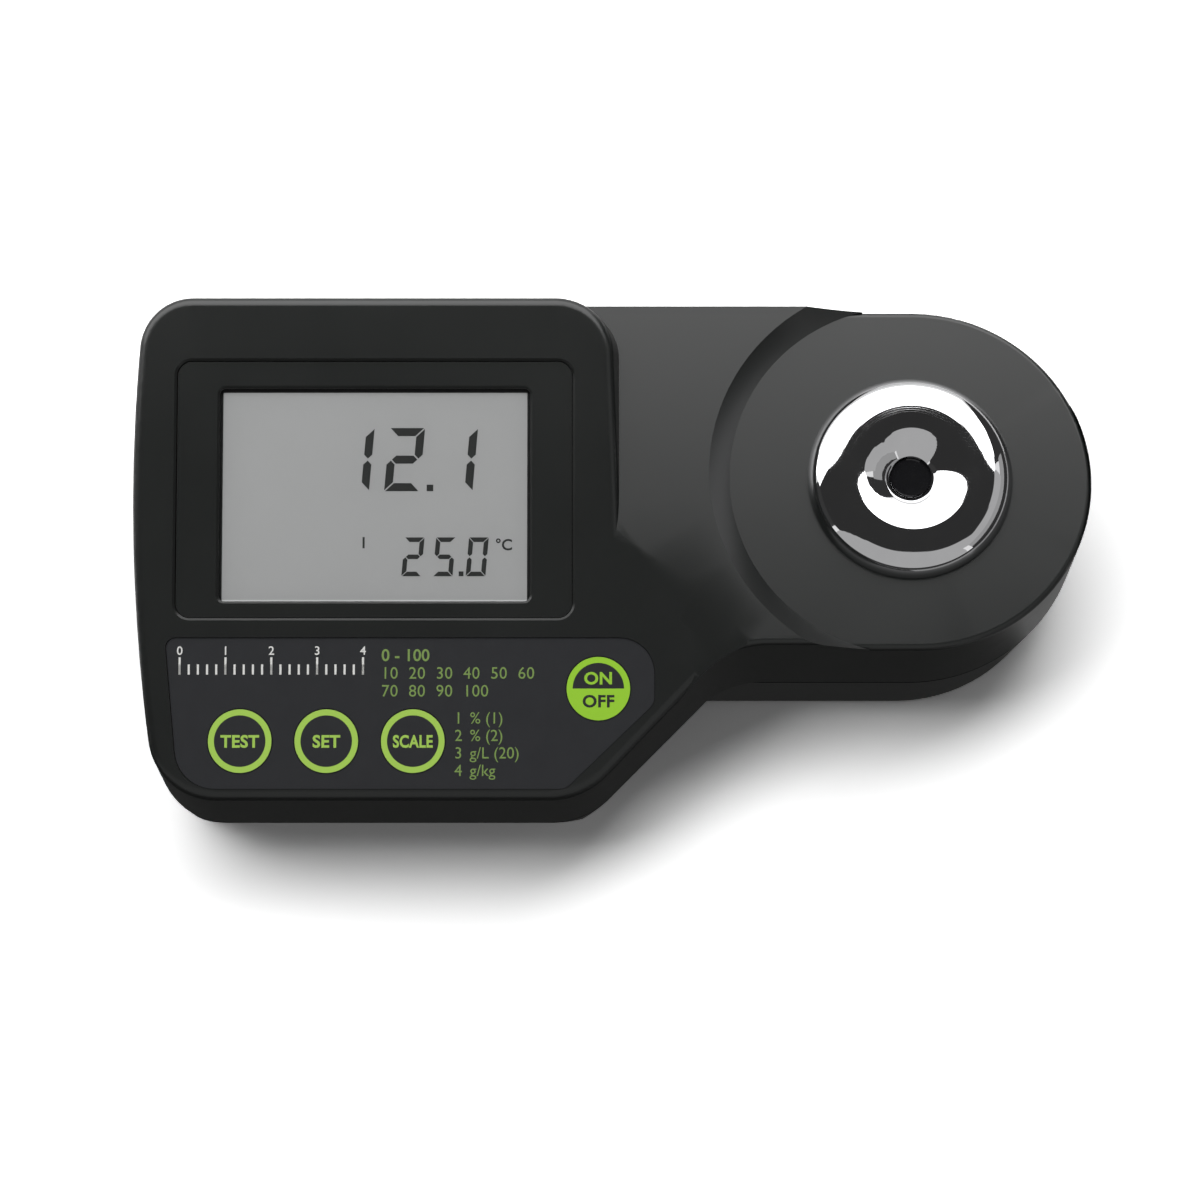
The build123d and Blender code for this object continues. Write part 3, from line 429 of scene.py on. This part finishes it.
# one finish for each material slot of the frame
finishes = {
    "case_plastic": casePlastic("casePlastic", caseFinish),
    "bezel_plastic": casePlastic("bezelPlastic", bezelFinish),
    "overlay_film": overlayFilm(overlayFinish),
    "polished_steel": polishedSteel(steelFinish),
    "window_plastic": clearPane(paneFinish),
    "lcd_face": lcdFace(lcdSettings),
    "prism_glass": prismGlass(prismFinish),
    "circuit_board": circuitBoard(boardFinish),
    "seal_rubber": plainFinish("sealRubber", (0.018, 0.018, 0.018), 0.7),
    "foot_rubber": plainFinish("footRubber", (0.04, 0.04, 0.042), 0.75),
    "screw_steel": plainFinish("screwSteel", (0.5, 0.5, 0.51), 0.35, metallic=1.0),
    "holder_plastic": plainFinish("holderPlastic", (0.1, 0.1, 0.1), 0.5),
    "chip_plastic": plainFinish("chipPlastic", (0.02, 0.02, 0.02), 0.5),
    "battery_can": plainFinish("batteryCan", (0.12, 0.12, 0.13), 0.4),
    "lead_insulation": plainFinish("leadInsulation", (0.35, 0.03, 0.03), 0.45),
    "brass_nut": plainFinish("brassNut", (0.65, 0.48, 0.2), 0.35, metallic=1.0),
    "optics_black": plainFinish("opticsBlack", (0.012, 0.012, 0.012), 0.8),
    "lamp_resin": plainFinish("lampResin", (0.7, 0.45, 0.12), 0.2),
    "ribbon_film": plainFinish("ribbonFilm", (0.42, 0.22, 0.05), 0.35),
}
keyCentres = {
    "key_one": (-73.25, -39.65),
    "key_two": (-56.30, -39.65),
    "key_three": (-39.35, -39.65),
    "key_power": (-3.0, -29.35),
}
nodeSlots = {part["node"]: part["material_slot"] for part in frame["record"]["subparts"]}


def dressNodes():
    for name, piece in frame["nodes"].items():
        piece.data.materials.clear()
        if name in keyCentres:
            finish = keyFinish(name + "Finish", keyCentres[name], name == "key_power")
        else:
            finish = finishes[nodeSlots[name]]
        piece.data.materials.append(finish)


dressNodes()
print("materials:", len(bpy.data.materials))


def link(name, data):
    piece = bpy.data.objects.new(name, data)
    bpy.context.scene.collection.objects.link(piece)
    return piece


def frozenMesh(draft, name):
    # the evaluated draft as a plain mesh; the draft goes
    bpy.context.view_layer.update()
    graph = bpy.context.evaluated_depsgraph_get()
    mesh = bpy.data.meshes.new_from_object(draft.evaluated_get(graph))
    mesh.name = name
    bpy.data.objects.remove(draft)
    return mesh


skinSettings = {"merge": 0.000002, "crease": math.radians(28), "weight": 90}


def skinOf(node, name, s):
    # the node's own surface, merged: its broad faces are shaded flat and its roundings smooth
    work = bmesh.new()
    work.from_mesh(frame["nodes"][node].data)
    bmesh.ops.remove_doubles(work, verts=work.verts, dist=s["merge"])
    bmesh.ops.dissolve_degenerate(work, edges=work.edges, dist=s["merge"])
    mesh = bpy.data.meshes.new(name)
    for face in work.faces:
        face.smooth = True
    for edge in work.edges:
        edge.smooth = len(edge.link_faces) == 2 and edge.calc_face_angle(0.0) < s["crease"]
    work.to_mesh(mesh)
    work.free()
    draft = link(name + "Draft", mesh)
    weigh = draft.modifiers.new("weigh", "WEIGHTED_NORMAL")
    weigh.keep_sharp = True
    weigh.weight = s["weight"]
    skin = link(name, frozenMesh(draft, name))
    skin.data.materials.append(finishes[nodeSlots[node]])
    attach(skin, "case")
    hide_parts(node)
    return skin


upperSkin = skinOf("upper_case", "upperCaseSkin", skinSettings)
lowerSkin = skinOf("lower_case", "lowerCaseSkin", skinSettings)
print("case skins:", len(upperSkin.data.polygons), len(lowerSkin.data.polygons))


def startTree(name, inputs):
    # a node tree with its inputs, and an end that makes the result real and gives it a material
    tree = bpy.data.node_groups.new(name, "GeometryNodeTree")
    tree.interface.new_socket("Geometry", in_out="INPUT", socket_type="NodeSocketGeometry")
    for label, kind in (*inputs, ("Material", "NodeSocketMaterial")):
        tree.interface.new_socket(label, in_out="INPUT", socket_type=kind)
    tree.interface.new_socket("Geometry", in_out="OUTPUT", socket_type="NodeSocketGeometry")
    entry = tree.nodes.new("NodeGroupInput")
    real = tree.nodes.new("GeometryNodeRealizeInstances")
    paint = tree.nodes.new("GeometryNodeSetMaterial")
    done = tree.nodes.new("NodeGroupOutput")
    tree.links.new(real.outputs[0], paint.inputs["Geometry"])
    tree.links.new(entry.outputs["Material"], paint.inputs["Material"])
    tree.links.new(paint.outputs[0], done.inputs[0])
    return tree, entry, real


def treePiece(name, mesh, tree, values):
    # a node tree run on a mesh, its inputs set by their identifiers, then frozen
    draft = link(name + "Draft", mesh)
    modifier = draft.modifiers.new("tree", "NODES")
    modifier.node_group = tree
    for item in tree.interface.items_tree:
        if item.in_out == "INPUT" and item.name in values:
            modifier[item.identifier] = values[item.name]
    return link(name, frozenMesh(draft, name))


# the steel ring: its half section carried round the well by a node tree
# places are (radius, height over the deck) in millimetres
ringSettings = {
    "foot": 20.5,
    "turn": (16.75, 4.79),
    "crest": (13.65, 5.2),
    "flatShares": (0.03, 0.15, 0.4, 0.7, 0.9),
    "shoulder": (12.2, 5.2),
    "lip": (4.2, 1.9),
    "hole": 4.1,
    "chamfer": 0.1,
    "under": 0.8,
    "pocket": (8.4, -4.5),
    "skirt": (12.0, 16.9, -10.0),
    "crownSteps": 12,
    "flankSteps": 28,
    "bowlSteps": 48,
    "steps": 256,
    "crease": math.radians(35),
}
weldDistance = 1e-7


def tangentArc(a, b, slope, count):
    # points and slopes of the arc that leaves a to the right at a downward slope and ends at b
    across, drop = b[0] - a[0], a[1] - b[1]
    bend = 2 * (drop * math.cos(slope) - across * math.sin(slope))
    radius = (across**2 + drop**2) / bend
    centre = (a[0] - radius * math.sin(slope), a[1] - radius * math.cos(slope))
    last = math.atan2(b[0] - centre[0], b[1] - centre[1])
    turns = [slope + (last - slope) * k / count for k in range(count + 1)]
    return [(centre[0] + radius * math.sin(t), centre[1] + radius * math.cos(t), t) for t in turns]


def ringSection(s):
    crest, shoulder, lip = s["crest"], s["shoulder"], s["lip"]
    crown = tangentArc(crest, s["turn"], 0.0, s["crownSteps"])
    flank = tangentArc(s["turn"], (s["foot"], 0.0), crown[-1][2], s["flankSteps"])
    bowl = tangentArc((-shoulder[0], shoulder[1]), (-lip[0], lip[1]), 0.0, s["bowlSteps"])
    inner, outer, depth = s["skirt"]
    points = [spot[:2] for spot in reversed(crown[:-1] + flank)]
    for share in s["flatShares"]:
        points.append((crest[0] + (shoulder[0] - crest[0]) * share, crest[1]))
    points += [(-r, z) for r, z, slope in bowl]
    points += [(s["hole"], lip[1] - s["chamfer"]), (s["hole"], s["under"])]
    points += [(s["pocket"][0], s["under"]), s["pocket"], (inner, s["pocket"][1])]
    points += [(inner, depth), (outer, depth), (outer, 0.0)]
    return points


def sweepTree():
    inputs = (("Radius", "NodeSocketFloat"), ("Steps", "NodeSocketInt"))
    tree, entry, real = startTree("carryRound", inputs)
    section = tree.nodes.new("GeometryNodeMeshToCurve")
    path = tree.nodes.new("GeometryNodeCurvePrimitiveCircle")
    sweep = tree.nodes.new("GeometryNodeCurveToMesh")
    tree.links.new(entry.outputs["Geometry"], section.inputs[0])
    tree.links.new(entry.outputs["Radius"], path.inputs["Radius"])
    tree.links.new(entry.outputs["Steps"], path.inputs["Resolution"])
    tree.links.new(path.outputs[0], sweep.inputs["Curve"])
    tree.links.new(section.outputs[0], sweep.inputs["Profile Curve"])
    tree.links.new(sweep.outputs[0], real.inputs[0])
    return tree


def wellRing(s):
    section = ringSection(s)
    base = s["crest"][0]
    mesh = bpy.data.meshes.new("ringSection")
    spots = [((r - base) * mm, -z * mm, 0.0) for r, z in section]  # the circle carries y downwards
    count = len(spots)
    mesh.from_pydata(spots, [(k, (k + 1) % count) for k in range(count)], [])
    values = {"Radius": base * mm, "Steps": s["steps"], "Material": finishes["polished_steel"]}
    ring = treePiece("wellRingSteel", mesh, sweepTree(), values)
    work = bmesh.new()
    work.from_mesh(ring.data)
    bmesh.ops.remove_doubles(work, verts=work.verts, dist=weldDistance)
    bmesh.ops.recalc_face_normals(work, faces=work.faces)
    for face in work.faces:
        face.smooth = True
    for edge in work.edges:
        edge.smooth = edge.calc_face_angle(0.0) < s["crease"]
    work.to_mesh(ring.data)
    work.free()
    heights = [v.co.z for v in ring.data.vertices]
    print("ring height", round((max(heights) - min(heights)) / mm, 3), "mm")
    place = (wellSettings["x"] * mm, wellSettings["y"] * mm, wellSettings["deckZ"] * mm)
    ring.data.transform(Matrix.Translation(place))
    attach(ring, "case")
    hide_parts("sample_well_ring")


wellRing(ringSettings)
print("steel ring done")

# printed marks: heights are w over the panel, in millimetres
inkDepth = 0.03
overlayTop = -0.35
keyTop = -0.25
letterSteps = 4


def lettering(name, lines, material, body="case"):
    # each line: text, left or middle u, base v, height w, and its style
    work = bmesh.new()
    for text, u, v, low, style in lines:
        curve = bpy.data.curves.new(name, "FONT")
        curve.body = text
        curve.size = style["size"] * mm
        curve.align_x = style.get("align", "LEFT")
        curve.offset = style.get("bold", 0.0) * mm
        curve.extrude = inkDepth * mm / 2
        curve.space_character = style.get("spacing", 1.0)
        curve.resolution_u = letterSteps
        mesh = frozenMesh(link(name, curve), name)
        mesh.transform(Matrix.Diagonal((style.get("stretch", 1.0), 1.0, 1.0, 1.0)))
        mesh.transform(panelMatrix(u, v, low + inkDepth / 2))
        work.from_mesh(mesh)
        bpy.data.meshes.remove(mesh)
    bmesh.ops.remove_doubles(work, verts=work.verts, dist=weldDistance)
    printPiece(work, name, material, body)


def printPiece(work, name, material, body):
    bmesh.ops.recalc_face_normals(work, faces=work.faces)
    mesh = bpy.data.meshes.new(name)
    work.to_mesh(mesh)
    work.free()
    mesh.materials.append(material)
    piece = link(name, mesh)
    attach(piece, body)


greenInk = ink("greenInk", printGreen)
dullGreenInk = ink("dullGreenInk", rgb(120, 148, 76))
whiteInk = ink("whiteInk", rgb(225, 225, 222))
blackInk = ink("blackInk", rgb(26, 28, 26))

keyWords = {"key_one": "TEST", "key_two": "SET", "key_three": "SCALE"}
keyWordStyle = {"size": 3.35, "align": "CENTER", "bold": 0.1, "spacing": 1.05, "drop": 1.2}
longWordStyle = dict(keyWordStyle, stretch=0.8)
longWord = 5  # letters


def keyLettering():
    for key, word in keyWords.items():
        u, v = keyCentres[key]
        style = longWordStyle if len(word) >= longWord else keyWordStyle
        line = (word, u, v - style["drop"], keyTop, style)
        lettering(key + "Word", [line], greenInk, key + "_body")


powerWordStyle = {"size": 3.3, "align": "CENTER", "bold": 0.1, "stretch": 1.05, "spacing": 1.05}
powerWords = {"onRise": 0.9, "offDrop": 3.6}


def powerLettering(s):
    u, v = keyCentres["key_power"]
    body, slot, style = "key_power_body", "power_key_face", powerWordStyle
    onLine = ("ON", u, v + s["onRise"], keyTop, style)
    offLine = ("OFF", u, v - s["offDrop"], keyTop, style)
    lettering("powerOnWord", [onLine], ink("limeInk", printLime), body)
    lettering("powerOffWord", [offLine], blackInk, body)


# plain numbers, and the units that the keys step through
numberSettings = {
    "left": -45.6,
    "rows": ((-23.9, "0 - 100"), (-27.4, "10  20  30  40  50  60"), (-30.9, "70  80  90  100")),
    "first": {"size": 3.3, "bold": 0.05},
    "other": {"size": 3.3, "stretch": 0.98, "spacing": 1.05},
}
legendSettings = {
    "numberLeft": -31.2,
    "wordLeft": -28.2,
    "top": -36.2,
    "pitch": 3.42,
    "rows": ("% (1)", "% (2)", "g/L (20)", "g/kg"),
    "style": {"size": 3.2, "stretch": 0.98},
}


def panelNumbers(s):
    lines = []
    for base, words in s["rows"]:
        lines.append((words, s["left"], base, overlayTop, s["other"] if lines else s["first"]))
    lettering("scaleNumbers", lines, dullGreenInk)


def panelLegend(s):
    lines = []
    for row, words in enumerate(s["rows"]):
        base = s["top"] - s["pitch"] * row
        lines.append((str(row + 1), s["numberLeft"], base, overlayTop, s["style"]))
        lines.append((words, s["wordLeft"], base, overlayTop, s["style"]))
    lettering("legendNumbers", lines, dullGreenInk)


keyLettering()
powerLettering(powerWords)
panelNumbers(numberSettings)
panelLegend(legendSettings)


# a plain white graduation: one tick repeated along a line by a node tree
tickSettings = {
    "left": -85.2,
    "base": -26.6,
    "pitch": 1.8,
    "count": 21,
    "every": 5,
    "width": 0.42,
    "short": 2.0,
    "long": 3.4,
    "bevel": 0.006,
    "numberRise": 0.5,
    "numberStyle": {"size": 2.4, "align": "CENTER", "bold": 0.02},
}


def tickTree():
    inputs = (("Count", "NodeSocketInt"), ("Pitch", "NodeSocketVector"))
    tree, entry, real = startTree("tickRow", inputs)
    row = tree.nodes.new("GeometryNodeMeshLine")
    place = tree.nodes.new("GeometryNodeInstanceOnPoints")
    tree.links.new(entry.outputs["Count"], row.inputs["Count"])
    tree.links.new(entry.outputs["Pitch"], row.inputs["Offset"])
    tree.links.new(row.outputs[0], place.inputs["Points"])
    tree.links.new(entry.outputs["Geometry"], place.inputs["Instance"])
    tree.links.new(place.outputs[0], real.inputs[0])
    return tree


def tickMesh(height, s):
    work = bmesh.new()
    bmesh.ops.create_cube(work, size=1.0)
    bmesh.ops.scale(work, verts=work.verts, vec=(s["width"] * mm, height * mm, inkDepth * mm))
    bmesh.ops.translate(work, verts=work.verts, vec=(0.0, height * mm / 2, 0.0))
    bmesh.ops.bevel(work, geom=work.edges[:], offset=s["bevel"] * mm, segments=1, affect="EDGES")
    mesh = bpy.data.meshes.new("tick")
    work.to_mesh(mesh)
    work.free()
    return mesh


def graduation(s):
    tree = tickTree()
    longCount = (s["count"] - 1) // s["every"] + 1
    rows = (
        ("shortTicks", s["short"], 1, s["count"]),
        ("longTicks", s["long"], s["every"], longCount),
    )
    for name, height, step, count in rows:
        pitch = (s["pitch"] * step * mm, 0.0, 0.0)
        values = {"Count": count, "Pitch": pitch, "Material": whiteInk}
        row = treePiece(name, tickMesh(height, s), tree, values)
        row.data.transform(panelMatrix(s["left"], s["base"], overlayTop + inkDepth / 2))
        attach(row, "case")
    lines = []
    for k in range(longCount):
        u, v = s["left"] + s["pitch"] * s["every"] * k, s["base"] + s["long"] + s["numberRise"]
        lines.append((str(k), u, v, overlayTop, s["numberStyle"]))
    lettering("graduationNumbers", lines, whiteInk)


graduation(tickSettings)
print("panel print done")

# seven-segment digits: a and d are the bars at the top and bottom, g the one between
segmentSets = {"0": "abcdef", "1": "bc", "2": "abged", "5": "afgcd"}
gapShare = 0.12  # of the stroke
readoutSettings = {
    "color": rgb(38, 39, 38),
    "roughness": 0.6,
    "top": -2.8,
    "sink": 0.01,
    "rise": 0.05,
    "big": {"base": 9.9, "height": 12.6, "width": 7.0, "stroke": 1.6, "slant": 0.085},
    "bigText": "121",
    "bigPlaces": (-54.9, -44.9, -34.4),
    "bigPoint": (-37.0, 9.9, 1.3),
    "small": {"base": -7.0, "height": 7.7, "width": 3.9, "stroke": 0.9, "slant": 0.085},
    "smallText": "250",
    "smallPlaces": (-41.6, -35.4, -28.9),
    "smallPoint": (-30.6, -7.0, 0.95),
    "signs": (("°C", -23.4, -1.8), ("1", -50.2, -1.4)),
    "signStyle": {"size": 3.1, "bold": 0.06},
}


def segmentOutlines(letter, left, s):
    width, height, stroke = s["width"], s["height"], s["stroke"]
    gap, half, mid = stroke * gapShare, stroke / 2, height / 2
    right, top = width - stroke, height - stroke
    upper, lower = mid + half, mid - half
    bars = {
        "a": [(gap, height), (width - gap, height), (right - gap, top), (stroke + gap, top)],
        "d": [(gap, 0), (stroke + gap, stroke), (right - gap, stroke), (width - gap, 0)],
        "g": [
            (half + gap, mid),
            (stroke + gap, upper),
            (right - gap, upper),
            (width - half - gap, mid),
            (right - gap, lower),
            (stroke + gap, lower),
        ],
        "f": [
            (0, height - gap),
            (stroke, top - gap),
            (stroke, upper + gap),
            (half, mid + gap),
            (0, upper + gap),
        ],
        "e": [
            (0, gap),
            (0, lower - gap),
            (half, mid - gap),
            (stroke, lower - gap),
            (stroke, stroke + gap),
        ],
        "b": [
            (width, height - gap),
            (width, upper + gap),
            (width - half, mid + gap),
            (right, upper + gap),
            (right, top - gap),
        ],
        "c": [
            (width, gap),
            (right, stroke + gap),
            (right, lower - gap),
            (width - half, mid - gap),
            (width, lower - gap),
        ],
    }
    base, slant = s["base"], s["slant"]
    return [
        [(left + x + (y - mid) * slant, base + y) for x, y in bars[bar]]
        for bar in segmentSets[letter]
    ]


def digits(letters, places, s):
    shapes = []
    for letter, left in zip(letters, places):
        shapes += segmentOutlines(letter, left, s)
    return shapes


def square(u, v, side):
    return [(u, v), (u + side, v), (u + side, v + side), (u, v + side)]


def raised(outlines, low, high):
    # outlines on the panel, in u and v, drawn out between two heights
    work = bmesh.new()
    for outline in outlines:
        base = [work.verts.new(panelPoint(u, v, low)) for u, v in outline]
        top = [work.verts.new(panelPoint(u, v, high)) for u, v in outline]
        work.faces.new(base[::-1])
        work.faces.new(top)
        for k in range(len(outline)):
            j = (k + 1) % len(outline)
            work.faces.new((base[k], base[j], top[j], top[k]))
    return work


def readout(s):
    digitInk = ink("digitInk", s["color"], s["roughness"])
    shapes = digits(s["bigText"], s["bigPlaces"], s["big"]) + [square(*s["bigPoint"])]
    shapes += digits(s["smallText"], s["smallPlaces"], s["small"]) + [square(*s["smallPoint"])]
    work = raised(shapes, s["top"] - s["sink"], s["top"] + s["rise"])
    printPiece(work, "lcdDigits", digitInk, "case")
    lines = [(text, u, v, s["top"], s["signStyle"]) for text, u, v in s["signs"]]
    lettering("lcdUnit", lines, digitInk, "case")


readout(readoutSettings)
print("readout done")

# the stage: floor paper, two lamps, and cards that only shiny surfaces show
floorSettings = {
    "side": 3.0,
    "glare": 1.78,
    "color": (0.94, 0.94, 0.94),
    "paler": (0.97, 0.97, 0.97),
    "grain": 0.002,
}


def stageFloor(s):
    f = Finish("floorPaper")
    grain = f.noise(s["grain"], detail=3.0)
    paper = f.mix(grain, s["color"], s["paler"])
    seen = f.signal(f.node("ShaderNodeLightPath").outputs["Is Camera Ray"])
    f.show(f.node("ShaderNodeBsdfDiffuse", Color=f.mix(seen, paper, (s["glare"],) * 3)))
    mesh = bpy.data.meshes.new("floor")
    h = s["side"] / 2
    mesh.from_pydata([(-h, -h, 0), (h, -h, 0), (h, h, 0), (-h, h, 0)], [], [(0, 1, 2, 3)])
    mesh.materials.append(f.material)
    link("floor", mesh)


# the back lamp fills an arc over the object, from low to high, in degrees from upright
backLamp = {"x": -0.3, "radius": 0.92, "low": 18.4, "high": 50.0, "width": 1.5, "light": 1.2}
topLamp = {"place": (-0.08, 0.155, 0.95), "width": 0.9, "depth": 0.26, "light": 8.5}


def polar(angle, radius, x):
    # a place over the object, by its angle from upright towards the back
    turn = math.radians(angle)
    return Vector((x, radius * math.sin(turn), radius * math.cos(turn)))


def areaLight(name, centre, width, height, radiance):
    lamp = bpy.data.lights.new(name, "AREA")
    lamp.shape = "RECTANGLE"
    lamp.size = width
    lamp.size_y = height
    lamp.energy = radiance * math.pi * width * height
    holder = link(name, lamp)
    holder.location = centre
    holder.rotation_euler = (-centre).to_track_quat("-Z", "Y").to_euler()
    holder.visible_camera = False
    holder.visible_glossy = False


def studioLights(back, top):
    low = polar(back["low"], back["radius"], back["x"])
    high = polar(back["high"], back["radius"], back["x"])
    depth = (high - low).length
    areaLight("backSoftbox", (low + high) / 2, back["width"], depth, back["light"])
    areaLight("topSoftbox", Vector(top["place"]), top["width"], top["depth"], top["light"])


# four corners in metres, and a brightness
cards = {
    "softboxFace": (
        ((-2.0, 0.29, 0.873), (0.60, 0.29, 0.873), (0.56, 0.884, 0.254), (-2.6, 0.884, 0.254)),
        3.6,
    ),
    "overheadCard": (
        ((-2.6, -0.20, 0.95), (0.62, -0.20, 0.95), (0.62, 0.33, 0.95), (-2.6, 0.33, 0.95)),
        0.035,
    ),
    "frontSheet": (
        ((-0.15, -0.20, 0.95), (1.35, -0.20, 0.95), (1.35, -1.0, 0.95), (-1.75, -1.0, 0.95)),
        0.5,
    ),
    "frontLeftSheet": (
        ((-2.6, -0.20, 0.95), (-0.15, -0.20, 0.95), (-1.75, -1.0, 0.95), (-2.6, -1.0, 0.95)),
        0.035,
    ),
    "rightSheet": (
        ((0.62, -0.20, 0.95), (1.35, -0.20, 0.95), (1.35, 0.40, 0.95), (0.62, 0.33, 0.95)),
        0.5,
    ),
    "frontCard": (
        ((-1.75, -1.0, 0.2), (1.16, -1.0, 0.2), (1.16, -1.0, 0.95), (-1.75, -1.0, 0.95)),
        0.5,
    ),
    "frontLowCard": (
        ((-2.6, -0.99, 0.0), (1.5, -0.99, 0.0), (1.5, -0.99, 0.2), (-2.6, -0.99, 0.2)),
        0.05,
    ),
    "leftCard": (
        ((-2.2, -1.0, 0.0), (-2.2, 0.35, 0.0), (-2.2, 0.5, 1.1), (-2.2, -1.0, 1.1)),
        0.05,
    ),
    "rightCard": (
        ((1.35, -1.0, 0.45), (1.35, 0.68, 0.45), (1.35, 0.68, 1.1), (1.35, -1.0, 1.1)),
        0.4,
    ),
    "rightLowCard": (
        ((1.36, -1.0, 0.0), (1.36, 1.25, 0.0), (1.36, 1.25, 0.45), (1.36, -1.0, 0.45)),
        0.04,
    ),
    "rightBackCard": (
        ((1.37, 0.60, 0.0), (1.37, 1.25, 0.0), (1.37, 1.25, 1.1), (1.37, 0.60, 1.1)),
        0.04,
    ),
    "backRightCard": (
        ((0.62, 1.0, 0.0), (1.37, 1.25, 0.0), (1.37, 0.65, 1.1), (0.56, 0.33, 0.96)),
        0.04,
    ),
    # painted shade: sheets lying on the floor that only shiny surfaces show. They darken the floor
    # that the case's walls mirror, near black in front and grey to the right
    "paintedShadeFront": (
        (
            (-0.6, -0.9, 0.0004),
            (0.097, -0.9, 0.0004),
            (0.097, -0.012, 0.0004),
            (-0.6, -0.03, 0.0004),
        ),
        0.05,
    ),
    "paintedShadeRight": (
        ((0.097, -0.9, 0.0004), (0.6, -0.9, 0.0004), (0.6, 0.3, 0.0004), (0.097, 0.01, 0.0004)),
        0.3,
    ),
}


def studioCard(name, corners, shade):
    f = Finish(name + "Paper")
    f.show(f.node("ShaderNodeEmission", Color=(shade, shade, shade), Strength=1.0))
    mesh = bpy.data.meshes.new(name)
    mesh.from_pydata(list(corners), [], [(0, 1, 2, 3)])
    mesh.materials.append(f.material)
    card = link(name, mesh)
    card.visible_camera = False
    card.visible_diffuse = False
    card.visible_transmission = False
    card.visible_shadow = False


worldFill = 0.12  # how much of the white room lights the object


def studioWorld():
    # white where it is seen or mirrored, and dim as a light
    world = bpy.data.worlds.new("studio")
    bpy.context.scene.world = world
    world.use_nodes = True
    tree = world.node_tree
    tree.nodes.clear()
    path = tree.nodes.new("ShaderNodeLightPath")
    seen = Signal(tree, path.outputs["Is Camera Ray"]) + Signal(tree, path.outputs["Is Glossy Ray"])
    seen = (seen + Signal(tree, path.outputs["Is Transmission Ray"])).maths("MINIMUM", 1.0)
    strength = seen * (1.0 - worldFill) + worldFill
    ground = tree.nodes.new("ShaderNodeBackground")
    ground.inputs["Color"].default_value = (1.0, 1.0, 1.0, 1.0)
    tree.links.new(strength.socket, ground.inputs["Strength"])
    done = tree.nodes.new("ShaderNodeOutputWorld")
    tree.links.new(ground.outputs[0], done.inputs[0])


stageFloor(floorSettings)
studioLights(backLamp, topLamp)
for cardName, (corners, shade) in cards.items():
    studioCard(cardName, corners, shade)
studioWorld()

# the photograph's camera: its place in millimetres, its focal length in pixels of its frame
cameraSettings = {
    "place": (-2.68, -152.6, 640.5),
    "tilt": math.radians(13.66),
    "focal": 3052.49,
    "pixels": 1200,
    "film": 36.0,
    "near": 0.01,
    "far": 20.0,
}


def photoCamera(s):
    camera = bpy.data.cameras.new("camera")
    camera.sensor_fit = "HORIZONTAL"
    camera.sensor_width = s["film"]
    camera.lens = s["focal"] * s["film"] / s["pixels"]
    camera.clip_start = s["near"]
    camera.clip_end = s["far"]
    holder = link("camera", camera)
    holder.location = Vector(s["place"]) * mm
    holder.rotation_euler = (s["tilt"], 0.0, 0.0)
    bpy.context.scene.camera = holder


photoCamera(cameraSettings)
bpy.context.scene.view_settings.view_transform = "Standard"
print("stage and camera done")
